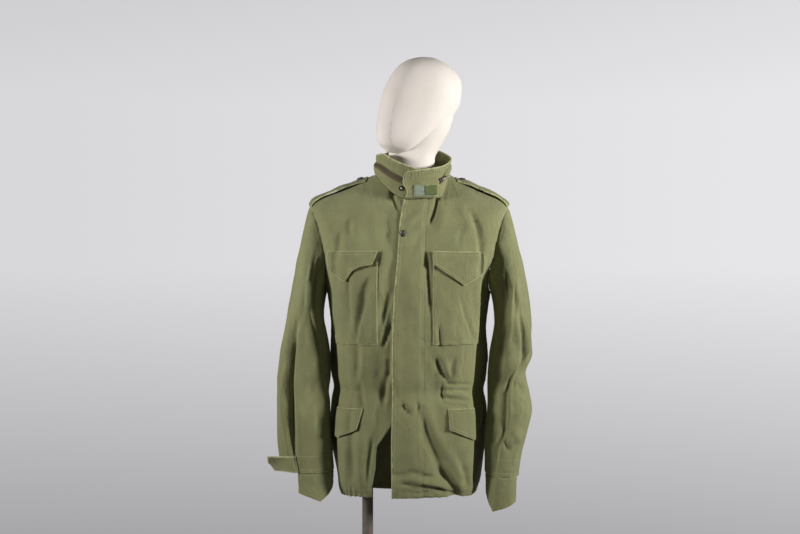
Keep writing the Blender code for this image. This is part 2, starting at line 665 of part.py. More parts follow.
def loft(name, rings, slot):
    """A closed solid through rings of points, each ring a closed outline, with flat ends."""
    bm = bmesh.new()
    columns, rows = len(rings[0]), len(rings) - 1
    bmesh.ops.create_grid(bm, x_segments=columns, y_segments=rows, size=0.5)
    for vert in bm.verts:
        column, row = round((vert.co.x + 0.5) * columns) % columns, round((vert.co.y + 0.5) * rows)
        vert.co = Vector(rings[row][column])
    bmesh.ops.remove_doubles(bm, verts=bm.verts, dist=1e-6)
    bmesh.ops.holes_fill(bm, edges=bm.edges, sides=0)
    return finish(name, bm, slot)


def disc(name, matrix, radius, thickness, slot, sides=16, rim=0.0006):
    """A round cap with a softened edge, standing on the place that the matrix gives."""
    bm = bmesh.new()
    bmesh.ops.create_cone(bm, cap_ends=True, segments=sides, radius1=radius, radius2=radius, depth=thickness)
    top = [e for e in bm.edges if all(v.co.z > 0 for v in e.verts)]
    bmesh.ops.bevel(bm, geom=top, offset=rim, affect="EDGES", segments=1, material=-1)
    bmesh.ops.transform(bm, matrix=matrix @ Matrix.Translation((0, 0, thickness / 2)), verts=bm.verts)
    return finish(name, bm, slot)


def spread(start, end, count):
    return list(np.linspace(start, end, count))


# ---------------------------------------------------------------- body panels
def rounded_levels(count):
    """Levels from the underarm to the shoulder's tip, close together at both ends."""
    return [1.5 - 0.5 * math.cos(math.pi * k / count) for k in range(1, count)]


PANEL_LEVELS = (
    [0, 0.03, 0.08, 0.17, 0.28, 0.38, 0.45, 0.50, 0.54, 0.58, 0.64, 0.73, 0.82, 0.91, 1.0]
    + rounded_levels(ARMHOLE_STEPS)
    + [2.0, 2.15, 2.3, 2.5, 2.75, 3.0]
)


def front_edge(body, level, side):
    """Where a front panel ends at the centre, from the centre front."""
    if side > 0:
        return SEAM_GAP
    return float(smooth_columns(RIGHT_FRONT_EDGE, "z", np.array([body.front_height(level)]))["edge"][0])


def outer_edge(body, level, side, depth, inwards):
    """Where a panel ends at the side seam, the armhole or the shoulder seam; inwards is -1 for a front."""
    return body.side_line(level, side) + side * inwards * (armhole_bite(level, depth) + SEAM_GAP / 2)


def front_panel(body, name, side):
    def place(u, level, lift):
        inner = front_edge(body, level, side)
        outer = outer_edge(body, level, side, ARMHOLE_FRONT, -1)
        return body.on(inner + u * (outer - inner), level, lift)

    return sheet(name, spread(0, 1, 14), PANEL_LEVELS, place, WALL, lift=-WALL)


def back_panel(body):
    def place(u, level, lift):
        side = -1 if u < 0 else 1
        seam = outer_edge(body, level, side, ARMHOLE_BACK, 1)
        middle = body.centre_back(level, side)
        return body.on(middle + abs(u) * (seam - middle), level, lift)

    return sheet("back", spread(-1, 1, 21), PANEL_LEVELS, place, WALL, lift=-WALL)


def sleeve_tube(sleeve, name):
    down = spread(0, 0.09, 4) + spread(0.13, sleeve.cuff, 16)
    angles = spread(0, 360, 2 * ARMHOLE_STEPS + 1)
    return sheet(name, angles, down, lambda a, d, lift: sleeve.on(d, a, lift), WALL, lift=-WALL)


# ---------------------------------------------------------------- pieces sewn onto the body
def panel_limit(body, level, side, margin):
    """How far from the centre front a front panel reaches, less a margin."""
    return abs(outer_edge(body, level, side, ARMHOLE_FRONT, -1)) - margin


def held_inside(body, across, level, side, margin, u):
    """Moves a pocket's or flap's outer stretch in, so that it stays clear of the armhole seam."""
    return min(across, panel_limit(body, level, side, margin + ARMHOLE_CROWDING * (1 - u)))


def pocket_bag(body, name, side):
    def place(u, height, lift):
        level = body.level_at(height)
        across = CHEST_POCKET_IN + u * (CHEST_POCKET_OUT - CHEST_POCKET_IN)
        across = held_inside(body, across, level, side, POCKET_MARGIN, u)
        stand = POCKET_STAND * (4 * u * (1 - u)) ** 0.4
        return body.on(side * across, level, lift + stand)

    heights = spread(CHEST_POCKET_BOTTOM, CHEST_POCKET_TOP, 10)
    return sheet(name, spread(0, 1, 9), heights, place, WALL, lift=LAYER_GAP)


def flap(body, name, side, outline, lift):
    """A pocket flap with a pointed lower edge, from its inner and outer end, its top and its two drops."""
    inner, outer, top, at_side, at_point = outline

    def place(u, share, rise):
        drop = at_side + (at_point - at_side) * (1 - abs(2 * u - 1))
        level = body.level_at(top - share * drop)
        across = held_inside(body, inner + u * (outer - inner), level, side, FLAP_MARGIN, u)
        return body.on(side * across, level, rise)

    return sheet(name, spread(0, 1, 9), spread(0, 1, 5), place, DOUBLE_WALL, lift=lift)


def storm_flap(body):
    def place(u, level, lift):
        row = smooth_columns(STORM_FLAP, "z", np.array([body.front_height(level)]))
        across = row["edge"][0] + u * (row["stitched"][0] - row["edge"][0])
        return body.on(float(across), level, lift)

    levels = PANEL_LEVELS[:-1] + [STORM_FLAP_TOP]
    return sheet("storm_flap", spread(0, 1, 5), levels, place, DOUBLE_WALL, lift=LAYER_GAP)


def epaulette_line(body, side, share, u):
    """A place on a shoulder: share runs from the sleeve to the neck, and u across the strap."""
    width = EPAULETTE_WIDE + (EPAULETTE_NARROW - EPAULETTE_WIDE) * share
    run = share * (1 - EPAULETTE_POINT * abs(u))
    level = EPAULETTE_START + run * (EPAULETTE_END - EPAULETTE_START)
    across = body.side_line(level, side) - side * (EPAULETTE_FORWARD - u * width / 2)
    return across, level


def epaulette_lift(share):
    return LAYER_GAP + EPAULETTE_STAND * math.sin(math.pi * min(share / 0.9, 1)) ** 0.7


def epaulette_place(body, side, u, share, lift):
    across, level = epaulette_line(body, side, share, u)
    return body.on(across, level, lift + epaulette_lift(share))


def epaulette(body, name, side):
    def place(u, share, lift):
        return epaulette_place(body, side, u, share, lift)

    return sheet(name, spread(-1, 1, 5), spread(0, 1, 11), place, DOUBLE_WALL)


def epaulette_button(body, name, side):
    def top(u, share):
        return epaulette_place(body, side, u, share, DOUBLE_WALL + 2 * SEAM_GAP)

    share = EPAULETTE_BUTTON_SHARE
    along = top(0, share + 0.06) - top(0, share - 0.06)
    out = np.cross(along, top(0.5, share) - top(-0.5, share))
    out *= math.copysign(1, out[2])
    matrix = frame_matrix(top(0, share), out, along)
    return disc(name, matrix, BUTTON_RADIUS, BUTTON_THICKNESS, "button", sides=14)


def front_snap(body):
    row = smooth_columns(STORM_FLAP, "z", np.array([FRONT_SNAP_HEIGHT]))
    across, level = row["edge"][0] + FRONT_SNAP_INSET, body.level_at(FRONT_SNAP_HEIGHT)
    here = body.on(across, level, LAYER_GAP + DOUBLE_WALL + SEAM_GAP)
    matrix = frame_matrix(here, body.normal(across, level), (1, 0, 0))
    return disc("storm_flap_snap", matrix, SNAP_RADIUS, SNAP_THICKNESS, "metal")


# ---------------------------------------------------------------- cuffs
def cuff_guard(sleeve, name, outline):
    """A pointed guard for the back of the hand, sewn inside the cuff and hanging out of it."""

    def place(angle, share, lift):
        drop = np.interp(angle, outline["angle"], outline["drop"])
        down = sleeve.cuff + (share * (drop + GUARD_INSIDE) - GUARD_INSIDE) / sleeve.length
        return sleeve.on(down, angle, lift)

    angles = spread(outline["angle"][0], outline["angle"][1], 6) + spread(*outline["angle"][1:], 5)[1:]
    return sheet(name, angles, spread(0, 1, 6), place, WALL, lift=GUARD_LIFT)


def cuff_tab(sleeve, name, start, stuck):
    """A tab round the cuff from the angle `start`; past the length `stuck` it runs straight on, free."""
    middle = sleeve.cuff - (TAB_WIDTH / 2 + TAB_HIGH) / sleeve.length

    def round_sleeve(length, down, lift):
        return sleeve.on(down, start - math.degrees(length / TAB_ARC_RADIUS), lift)

    def place(u, share, lift):
        length = TAB_LENGTH * share - TAB_POINT * abs(u) * share
        down = middle + u * TAB_WIDTH / 2 / sleeve.length
        if length <= stuck:
            return round_sleeve(length, down, lift)
        leaving = round_sleeve(stuck, down, lift)
        step = leaving - round_sleeve(stuck - 0.004, down, lift)
        return leaving + step / np.linalg.norm(step) * (length - stuck)

    return sheet(name, spread(-1, 1, 5), spread(0, 1, 7), place, DOUBLE_WALL, lift=LAYER_GAP)


# ---------------------------------------------------------------- collar
def collar_shell(collar):
    return sheet("collar", collar.steps(), COLLAR_UP, collar.on, COLLAR_WALL, lift=-COLLAR_WALL)


def collar_strip(collar, name, across, up, thickness, slot, lift):
    return sheet(name, across, up, collar.on, thickness, slot=slot, lift=lift)


def collar_snap(collar):
    matrix = collar.frame(collar.length - COLLAR_SNAP_FROM_END, COLLAR_SNAP_UP, -SEAM_GAP)
    return disc("collar_snap", matrix, COLLAR_SNAP_RADIUS, SNAP_THICKNESS, "metal", sides=14)


def box(name, matrix, size, centre, bevel):
    """A metal block with softened edges."""
    bm = bmesh.new()
    bmesh.ops.create_cube(bm, size=1)
    bmesh.ops.scale(bm, vec=size, verts=bm.verts)
    bmesh.ops.bevel(bm, geom=bm.edges[:], offset=bevel, affect="EDGES", segments=1, material=-1)
    bmesh.ops.transform(bm, matrix=matrix @ Matrix.Translation(centre), verts=bm.verts)
    return finish(name, bm, "metal")


def pin(name, matrix, radius, length, sides=12):
    """A round metal bar along the matrix's Y axis, centred on it."""
    bm = bmesh.new()
    bmesh.ops.create_cone(bm, cap_ends=True, segments=sides, radius1=radius, radius2=radius, depth=length)
    bmesh.ops.transform(bm, matrix=matrix @ Matrix.Rotation(math.pi / 2, 4, "X"), verts=bm.verts)
    return finish(name, bm, "metal")


def combine(body_object, tool, operation):
    """Joins the tool to the object, or cuts it away, and leaves the tool out of the model."""
    tool.hide_render = True
    tool.display_type = "WIRE"
    modifier = body_object.modifiers.new(f"{operation.lower()}_{tool.name}", "BOOLEAN")
    modifier.operation = operation
    modifier.solver = "EXACT"
    modifier.object = tool


def zip_frame(collar):
    return collar.frame(ZIP_SLIDER_ACROSS, ZIP_MIDDLE, SLIDER_LIFT)


def zip_slider(collar):
    """The slider, with two ears that hold the pin its pull turns on."""
    place = zip_frame(collar)
    size = (SLIDER_LENGTH, SLIDER_WIDTH, SLIDER_THICK)
    slider = box("collar_zip_slider", place, size, (0, 0, SLIDER_THICK / 2), bevel=0.0005)
    for side in (-1, 1):
        height = PIN_HEIGHT - SLIDER_THICK + EAR_SUNK + EAR_ABOVE_PIN
        centre = (0, side * EAR_OFFSET, SLIDER_THICK - EAR_SUNK + height / 2)
        ear = box(f"ear_{side}", place, (EAR_LENGTH, EAR_THICK, height), centre, bevel=0.0003)
        combine(slider, ear, "UNION")
    bar = pin("ear_pin", place @ Matrix.Translation((0, 0, PIN_HEIGHT)), PIN_RADIUS, 2 * EAR_OFFSET)
    combine(slider, bar, "UNION")
    return slider


def zip_pull(collar):
    """The pull tab. Its origin is on its pin's axis, which runs up the collar, across the zip."""
    place = zip_frame(collar) @ Matrix.Translation((0, 0, PIN_HEIGHT))
    flat = Matrix.Identity(4)
    middle = (-PIN_RADIUS - PIN_CLEAR - 0.0005 - PULL_LENGTH / 2, 0, 0)
    pull = box("collar_zip_pull", flat, (PULL_LENGTH, PULL_WIDTH, PULL_THICK), middle, bevel=0.0003)
    ring = pin("pull_eye", flat, PULL_EYE, 2 * PULL_HALF_NECK, sides=16)
    bore = pin("pull_bore", flat, PIN_RADIUS + PIN_CLEAR, 0.02, sides=16)
    room = (0.008, 0.004, 0.004)
    slots = [
        box(f"pull_clear_{side}", flat, room, (0, side * (PULL_HALF_NECK + room[1] / 2), 0), bevel=0.0002)
        for side in (-1, 1)
    ]
    combine(pull, ring, "UNION")
    for tool in (bore, *slots):
        combine(pull, tool, "DIFFERENCE")
    for piece in (pull, ring, bore, *slots):
        piece.matrix_world = place
    return pull


# ---------------------------------------------------------------- dress form and stand
def form_torso(body):
    """The form inside the jacket: the body's own surface, moved inwards, and closed at both ends."""
    angles = spread(-1, 1, 29)[:-1]
    rings = []
    for level in FORM_LEVELS:
        ring = []
        for share in angles:
            across = share * abs(body.centre_back(level, -1 if share < 0 else 1))
            off_seam = abs(abs(across) - abs(body.side_line(level, -1 if share < 0 else 1)))
            on_shoulder = (
                ease((level - FORM_SHOULDER_FROM) / 0.2)
                * ease((FORM_SHOULDER_TO - level) / 0.2)
                * ease(1.6 - off_seam / FORM_SHOULDER_WIDTH)
            )
            inset = FORM_CLEAR + (FORM_TOUCH - FORM_CLEAR) * on_shoulder
            row, column = body.row(level), body.column(across, level)
            ring.append(body.smooth.at(row, column, -WALL - inset))
        rings.append(np.array(ring))
    rings[0][:, 2] = FORM_BOTTOM_Z
    last = rings[-1]
    around = np.radians(np.array(angles) * 180)
    neck = np.stack(
        [
            GARMENT_X + NECK_CENTRE_X + NECK_HALF_WIDTH * np.sin(around),
            NECK_CENTRE_Y - NECK_HALF_DEPTH * np.cos(around),
            np.full(len(around), NECK_JOINT_Z),
        ],
        axis=1,
    )
    for share in (0.3, 0.6, 0.85, 1.0):
        inwards = math.sin(share * math.pi / 2)
        blend = np.array([inwards, inwards, share])
        rings.append(last * (1 - blend) + neck * blend)
    return loft("form_torso", rings, "form")


def head_frame():
    """Where the head stands: turned to the wearer's right, and leaning a little to the left."""
    lean = Matrix.Rotation(math.radians(HEAD_LEAN), 4, "Y")
    turn = Matrix.Rotation(math.radians(-HEAD_TURN), 4, "Z")
    return Matrix.Translation((GARMENT_X + HEAD_CENTRE_X, HEAD_CENTRE_Y, HEAD_CENTRE_Z)) @ lean @ turn


def form_head():
    """A plain egg of a head, without a face, with its neck joined to it."""
    chin, crown = HEAD_PROFILE["height"][0], HEAD_PROFILE["height"][-1]
    at = np.sin(np.linspace(-math.pi / 2, math.pi / 2, 17))[1:-1]
    heights = (chin + crown + at * (crown - chin)) / 2
    profile = smooth_columns(HEAD_PROFILE, "height", heights)
    angles = np.radians(np.linspace(0, 360, 25)[:-1])
    place = head_frame()
    rings = []
    for i, height in enumerate(heights):
        middle = (profile["front"][i] + profile["back"][i]) / 2
        reach = (profile["back"][i] - profile["front"][i]) / 2
        wide = profile["half_width"][i]
        ring = [(wide * math.sin(a), middle - reach * math.cos(a), height) for a in angles]
        rings.append([place @ Vector(point) for point in ring])
    head = loft("form_head", rings, "form")
    neck_rings = []
    for i in range(len(NECK_RINGS["z"])):
        grow = NECK_RINGS["grow"][i]
        neck_rings.append(
            [
                (
                    GARMENT_X + NECK_CENTRE_X + grow * NECK_HALF_WIDTH * math.sin(a),
                    NECK_CENTRE_Y + NECK_RINGS["shift_y"][i] - grow * NECK_HALF_DEPTH * math.cos(a),
                    NECK_RINGS["z"][i],
                )
                for a in angles
            ]
        )
    combine(head, loft("neck", neck_rings, "form"), "UNION")
    return head


def upright(name, radius, bottom, top, sides, rim=0.0):
    """A round steel piece on the pole's axis."""
    return disc(name, Matrix.Translation((0, 0, bottom)), radius, top - bottom, "steel", sides=sides, rim=rim)


# ---------------------------------------------------------------- run
def clear_scene():
    for old in list(bpy.data.objects):
        bpy.data.objects.remove(old)


clear_scene()
body = Body()
collar = Collar()
sleeves = {name: Sleeve(body, name) for name in ("left", "right")}

back_panel(body)
storm_flap(body)
front_snap(body)
for word, side in (("left", 1), ("right", -1)):
    front_panel(body, f"front_{word}", side)
    sleeve_tube(sleeves[word], f"sleeve_{word}")
    pocket_bag(body, f"chest_pocket_{word}", side)
    flap(body, f"chest_flap_{word}", side, CHEST_FLAP, CHEST_FLAP_LIFT)
    flap(body, f"lower_flap_{word}", side, LOWER_FLAP, LAYER_GAP)
    epaulette(body, f"epaulette_{word}", side)
    epaulette_button(body, f"epaulette_button_{word}", side)
    cuff_guard(sleeves[word], f"cuff_guard_{word}", GUARDS[word])
cuff_tab(sleeves["left"], "cuff_tab_left", TAB_START["left"], TAB_LENGTH)
cuff_tab(sleeves["right"], "cuff_tab_right", TAB_START["right"], TAB_LENGTH - TAB_FREE)

collar_shell(collar)
collar_strip(collar, "collar_zip", collar.steps()[3:-2], ZIP_UP, ZIP_TAPE, "zip", SEAM_GAP)
patch_across, tab_across = spread(PATCH_FROM, PATCH_TO, 5), spread(TAB_FROM, TAB_TO, 4)
collar_strip(collar, "collar_patch", patch_across, PATCH_UP, PATCH_THICK, "hook_tape", LAYER_GAP)
collar_strip(collar, "collar_tab", tab_across, TAB_UP, TAB_THICK, "loop_tape", TAB_LIFT)
collar_snap(collar)
zip_slider(collar)
zip_pull(collar)

form_torso(body)
form_head()
upright("pole_socket", SOCKET_RADIUS, SOCKET_Z, FORM_BOTTOM_Z - SEAM_GAP, 24, rim=0.002)
upright("pole", POLE_RADIUS, BASE_THICKNESS + SEAM_GAP, SOCKET_Z - SEAM_GAP, 20, rim=0.0005)
upright("base", BASE_RADIUS, 0, BASE_THICKNESS, 48, rim=0.003)
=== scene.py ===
# %% [markdown]
# # A worn field jacket on a dress form
#
# The jacket hangs on a limbless dress form with a plain egg of a head, on a pole and a round steel base.
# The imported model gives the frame: where each piece is, how big it is, and what moves. This lesson lays
# finer cloth over it, sews it, and gives each piece its finish. Everything is in metres, except in the
# tables of folds; +Z is up, the jacket faces -Y, and +X is the wearer's left.

import math

import bmesh
import bpy
import numpy as np
from mathutils import Matrix, Vector, noise


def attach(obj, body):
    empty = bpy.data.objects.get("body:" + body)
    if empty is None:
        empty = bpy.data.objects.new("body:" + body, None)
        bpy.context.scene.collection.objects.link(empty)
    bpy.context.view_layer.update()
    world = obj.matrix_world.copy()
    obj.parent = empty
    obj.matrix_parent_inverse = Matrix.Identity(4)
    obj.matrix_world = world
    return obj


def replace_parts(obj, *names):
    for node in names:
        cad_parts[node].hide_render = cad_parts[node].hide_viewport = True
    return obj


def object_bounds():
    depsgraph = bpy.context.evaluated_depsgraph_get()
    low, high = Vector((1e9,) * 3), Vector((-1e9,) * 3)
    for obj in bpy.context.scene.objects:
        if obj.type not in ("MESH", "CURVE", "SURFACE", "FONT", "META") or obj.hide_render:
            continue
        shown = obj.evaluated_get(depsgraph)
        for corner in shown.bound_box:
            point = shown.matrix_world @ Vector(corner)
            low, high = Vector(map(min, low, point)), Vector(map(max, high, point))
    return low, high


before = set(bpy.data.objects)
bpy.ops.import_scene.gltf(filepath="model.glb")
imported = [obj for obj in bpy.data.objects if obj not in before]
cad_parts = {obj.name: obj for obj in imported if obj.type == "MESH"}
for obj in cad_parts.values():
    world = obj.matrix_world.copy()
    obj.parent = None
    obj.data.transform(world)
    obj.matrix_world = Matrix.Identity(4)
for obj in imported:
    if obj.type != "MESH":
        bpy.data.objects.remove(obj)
cad_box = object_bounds()


def rounded(values):
    return [round(float(value), 3) for value in values]


print(len(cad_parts), "nodes, from", rounded(cad_box[0]), "to", rounded(cad_box[1]))

# %% [markdown]
# ## The studio
#
# The garment is seen straight on from chest height with a normal lens. Two broad soft lights stand in
# front of it, the stronger one at the right, and both above its shoulders, so that it grows darker towards
# the hem. A third and weaker one behind it draws the shoulders. The room is pale. It lights the cloth only
# a little, which keeps the hollows under the arms dark. Where the camera sees it behind the jacket, the
# room has painted shade: darker towards the bottom, and a little darker on the wearer's right.

# %% Camera and lights
CAMERA_PLACE, CAMERA_LENS, CAMERA_SENSOR = (0.0743, -2.556, 1.320), 50, 36


def add_object(name, data):
    """A new object in the scene, for a mesh, a lamp or a camera."""
    made = bpy.data.objects.new(name, data)
    bpy.context.scene.collection.objects.link(made)
    return made


camera = add_object("camera", bpy.data.cameras.new("camera"))
camera.data.lens = CAMERA_LENS
camera.data.sensor_width = CAMERA_SENSOR
camera.location = CAMERA_PLACE
camera.rotation_euler = (math.radians(90), 0, 0)
bpy.context.scene.camera = camera
bpy.context.scene.view_settings.view_transform = "Standard"

LAMP_SPREAD = 90  # a grid in front of each lamp keeps its light from spilling below the jacket


def soft_light(name, place, aim, size, power, colour):
    lamp = bpy.data.lights.new(name, "AREA")
    lamp.shape = "DISK"
    lamp.size, lamp.energy, lamp.color = size, power, colour
    lamp.spread = math.radians(LAMP_SPREAD)
    light = add_object(name, lamp)
    light.location = place
    light.rotation_euler = (Vector(aim) - Vector(place)).to_track_quat("-Z", "Y").to_euler()


soft_light("key", (2.42, -1.02, 1.70), (0.10, 0, 1.58), 0.45, 20.5, (1.0, 0.985, 0.96))
soft_light("fill", (-2.25, -1.12, 1.70), (0.10, 0, 1.58), 0.55, 15.0, (1.0, 0.98, 0.965))
soft_light("back", (0.40, 2.60, 1.90), (0.10, 0, 1.40), 1.20, 7.0, (1.0, 0.99, 0.98))

print("camera, and", len(bpy.data.lights), "soft lights")

# %% Room and floor
# Painted shade on the room as the camera sees it: how bright it is painted, from below the jacket's hem to
# above its head.
ROOM_PAINTED_SHADE = ((0.0, 0.40), (0.25, 0.58), (0.5, 0.76), (0.8, 0.76), (1.0, 0.68))
ROOM_RISE, ROOM_TURN = 0.24, 0.4  # how steeply one looks up, and aside, to where its shades end
ROOM_RIGHT, ROOM_LEFT = 0.90, 1.08  # its shade on the wearer's right and left
ROOM_TINT, ROOM_LIGHT_COLOUR, ROOM_LIGHT = (0.985, 0.970, 1.0, 1), (1, 0.99, 0.98, 1), 0.075


def join(tree, source, socket):
    """Links a socket to an input, or sets the input to a plain value."""
    if isinstance(source, bpy.types.NodeSocket):
        tree.links.new(source, socket)
    else:
        socket.default_value = source


def add(tree, kind, links=(), **values):
    """Adds a shader node, sets its named properties, and then its inputs, by name or number."""
    node = tree.nodes.new(f"ShaderNode{kind}")
    for name, value in values.items():
        setattr(node, name, value)
    for place, source in dict(links).items():
        join(tree, source, node.inputs[place])
    return node


def mix_colour(tree, share, a, b, blend="MIX"):
    return add(tree, "Mix", {0: share, 6: a, 7: b}, data_type="RGBA", blend_type=blend).outputs[2]


world = bpy.data.worlds.new("pale room")
bpy.context.scene.world = world
world.use_nodes = True
room = world.node_tree
way = add(room, "SeparateXYZ", {0: add(room, "TexCoord").outputs["Generated"]})
up = {"Value": way.outputs[2], "From Min": -ROOM_RISE, "From Max": ROOM_RISE}
shades = add(room, "ValToRGB", {"Fac": add(room, "MapRange", up).outputs["Result"]})
while len(shades.color_ramp.elements) < len(ROOM_PAINTED_SHADE):
    shades.color_ramp.elements.new(0.5)
for element, (place, shade) in zip(shades.color_ramp.elements, ROOM_PAINTED_SHADE):
    element.position, element.color = place, (shade, shade, shade, 1)
# painted shade: the room seen by the camera is painted a little darker on the wearer's right than on the left
aside = {"Value": way.outputs[0], "From Min": -ROOM_TURN, "From Max": ROOM_TURN}
painted_side_shade = add(room, "MapRange", {**aside, "To Min": ROOM_RIGHT, "To Max": ROOM_LEFT}).outputs["Result"]
tinted = mix_colour(room, 1.0, shades.outputs[0], ROOM_TINT, "MULTIPLY")
# only the camera sees this painted shade; the jacket is lit by the plain room light below
seen = add(room, "Background", {"Color": tinted, "Strength": painted_side_shade})
lighting = add(room, "Background", {"Color": ROOM_LIGHT_COLOUR, "Strength": ROOM_LIGHT})
camera_ray = add(room, "LightPath").outputs["Is Camera Ray"]
either = add(room, "MixShader", {0: camera_ray, 1: lighting.outputs[0], 2: seen.outputs[0]})
room.links.new(either.outputs[0], room.nodes["World Output"].inputs["Surface"])

FLOOR_RADIUS = 2.2
FLOOR_DROP = 0.0005  # below the stand's base, so that their faces don't coincide


def mesh_from(bm, name):
    """A mesh with a bmesh's shape; the bmesh is freed."""
    mesh = bpy.data.meshes.new(name)
    bm.to_mesh(mesh)
    bm.free()
    return mesh


bm = bmesh.new()
bmesh.ops.create_circle(bm, cap_ends=True, segments=96, radius=FLOOR_RADIUS)
bmesh.ops.translate(bm, vec=(0, 0, -FLOOR_DROP), verts=bm.verts)
floor_mesh = mesh_from(bm, "floor")
add_object("floor", floor_mesh)
print("a pale room, and a floor", FLOOR_RADIUS * 2, "m across")

# %% [markdown]
# ## Shader groups
#
# Four effects are shared by several cloths, so each is a node group with its own inputs. The first is the
# weave: two sets of threads crossing, read from the cloth's own UV map, which is in metres along the
# cloth. The second is the uneven fading of a cloth that has been washed and worn, and the third the fine
# creases that it dries with. The fourth reads how far a point is from the nearest sewn edge, and gives the
# pale wear on the edge itself and the small puckers of the seam beside it.

# %% Helpers for node groups


def new_group(name, inputs, outputs):
    """An empty node group with (socket type, name, default value) inputs and (socket type, name) outputs."""
    group = bpy.data.node_groups.new(name, "ShaderNodeTree")
    for kind, label, value in inputs:
        socket = group.interface.new_socket(label, in_out="INPUT", socket_type=f"NodeSocket{kind}")
        if value is not None:
            socket.default_value = value
    for kind, label in outputs:
        group.interface.new_socket(label, in_out="OUTPUT", socket_type=f"NodeSocket{kind}")
    return group, group.nodes.new("NodeGroupInput").outputs, group.nodes.new("NodeGroupOutput").inputs


def math_node(tree, operation, a, b=0.0):
    return add(tree, "Math", {0: a, 1: b}, operation=operation).outputs[0]


def between(tree, value, low, high, to_low=0.0, to_high=1.0):
    """Maps a value from one range to another, smoothly, and holds it there."""
    links = {"Value": value, "From Min": low, "From Max": high, "To Min": to_low, "To Max": to_high}
    return add(tree, "MapRange", links, interpolation_type="SMOOTHSTEP").outputs["Result"]


def mottle(tree, place, scale, detail, **more):
    """Noise from 0 to 1 at a place; a fourth coordinate W gives each cloth its own."""
    links = {"Vector": place, "Scale": scale, "Detail": detail, **more}
    return add(tree, "TexNoise", links, noise_dimensions="4D" if "W" in more else "3D").outputs["Fac"]


# %% Weave
weave, given, made = new_group(
    "weave",
    [("Vector", "Cloth", None), ("Float", "Threads per metre", 1700.0), ("Float", "Twill", 0.6)],
    [("Float", "Height")],
)
to_threads = {0: given["Cloth"], "Scale": given["Threads per metre"]}
split = add(weave, "SeparateXYZ", {0: add(weave, "VectorMath", to_threads, operation="SCALE").outputs[0]})
over = math_node(weave, "SINE", math_node(weave, "MULTIPLY", split.outputs[0], 2 * math.pi))
under = math_node(weave, "SINE", math_node(weave, "MULTIPLY", split.outputs[1], 2 * math.pi))
both_ways = math_node(weave, "ADD", split.outputs[0], split.outputs[1])
slanting = math_node(weave, "SINE", math_node(weave, "MULTIPLY", both_ways, math.pi))
threads = math_node(weave, "MULTIPLY", over, under)
twilled = math_node(weave, "MULTIPLY", slanting, given["Twill"])
weave.links.new(math_node(weave, "ADD", threads, twilled), made["Height"])

# %% Fading
fading, given, made = new_group(
    "fading",
    [("Vector", "Place", None), ("Float", "Seed", 0.0)],
    [("Float", "Fade"), ("Float", "Warmth"), ("Float", "Speckle")],
)
BROAD_SHARE, CLOSE_SHARE = 0.6, 0.4  # of the wide and the narrow patches in the fading
broad = mottle(fading, given["Place"], 7.0, 3.0, W=given["Seed"])
close = mottle(fading, given["Place"], 38.0, 5.0)
warm = mottle(fading, given["Place"], 11.0, 2.0, W=4.0)
broad = math_node(fading, "MULTIPLY", broad, BROAD_SHARE)
close = math_node(fading, "MULTIPLY", close, CLOSE_SHARE)
fading.links.new(between(fading, math_node(fading, "ADD", broad, close), 0.34, 0.66), made["Fade"])
fading.links.new(between(fading, warm, 0.35, 0.68), made["Warmth"])
fading.links.new(mottle(fading, given["Place"], 420.0, 2.0), made["Speckle"])

# %% Creases
CREASE_SIZES = ((19.0, 0.0075), (55.0, 0.0022))  # how many lumps there are to a metre, and how high they are
creases, given, made = new_group("creases", [("Vector", "Place", None)], [("Float", "Height")])
drawn = add(creases, "VectorMath", {0: given["Place"], 1: (1.0, 1.0, 0.5)}, operation="MULTIPLY").outputs[0]
heights = []
for scale, depth in CREASE_SIZES:
    lumps = mottle(creases, drawn, scale, 3.0, Distortion=0.7)
    ridges = math_node(creases, "ABSOLUTE", math_node(creases, "SUBTRACT", lumps, 0.5))
    heights.append(math_node(creases, "MULTIPLY", ridges, depth))
creases.links.new(math_node(creases, "ADD", *heights), made["Height"])

# %% Wear along sewn edges
sewn_edge, given, made = new_group(
    "sewn edge",
    [("Vector", "Place", None), ("Float", "Distance", 0.1), ("Float", "Width", 0.002)],
    [("Float", "Wear"), ("Float", "Pucker")],
)
WEAR_FADE, PUCKERS_FROM, PUCKERS_TO = 0.7, 0.003, 0.011  # the last two are distances from the edge
ragged = between(sewn_edge, mottle(sewn_edge, given["Place"], 95.0, 4.0), 0.35, 0.7, 0.35, 1.6)
reach = math_node(sewn_edge, "MULTIPLY", given["Width"], ragged)
near_edge = math_node(sewn_edge, "SUBTRACT", 1.0, math_node(sewn_edge, "DIVIDE", given["Distance"], reach))
sewn_edge.links.new(between(sewn_edge, near_edge, 0.0, WEAR_FADE), made["Wear"])
ripple = mottle(sewn_edge, given["Place"], 160.0, 1.0)
beside = between(sewn_edge, given["Distance"], PUCKERS_TO, PUCKERS_FROM)
sewn_edge.links.new(math_node(sewn_edge, "MULTIPLY", ripple, beside), made["Pucker"])
print("groups:", [group.name for group in bpy.data.node_groups])

# %% [markdown]
# ## Finishes
#
# The shell is a closely woven cotton and nylon cloth, dyed olive and washed many times. It has no shine,
# but a faint bloom at grazing angles, so its shader has a little sheen. Panels, flaps and straps are one
# cloth, and differ only in how wide their edges are rubbed, so one function makes them all with other
# values.

# %% Cloth


def new_material(name, roughness, sockets=()):
    """A Principled material, with its roughness and any (socket, value) pairs set on the shader itself."""
    material = bpy.data.materials.new(name)
    material.use_nodes = True
    shader = material.node_tree.nodes["Principled BSDF"]
    shader.inputs["Roughness"].default_value = roughness
    for socket, value in dict(sockets).items():
        shader.inputs[socket].default_value = value
    return material, material.node_tree, shader


def bumped(tree, shader, height, strength=1.0):
    bump = add(tree, "Bump", {"Height": height, "Strength": strength, "Distance": 1.0})
    tree.links.new(bump.outputs[0], shader.inputs["Normal"])


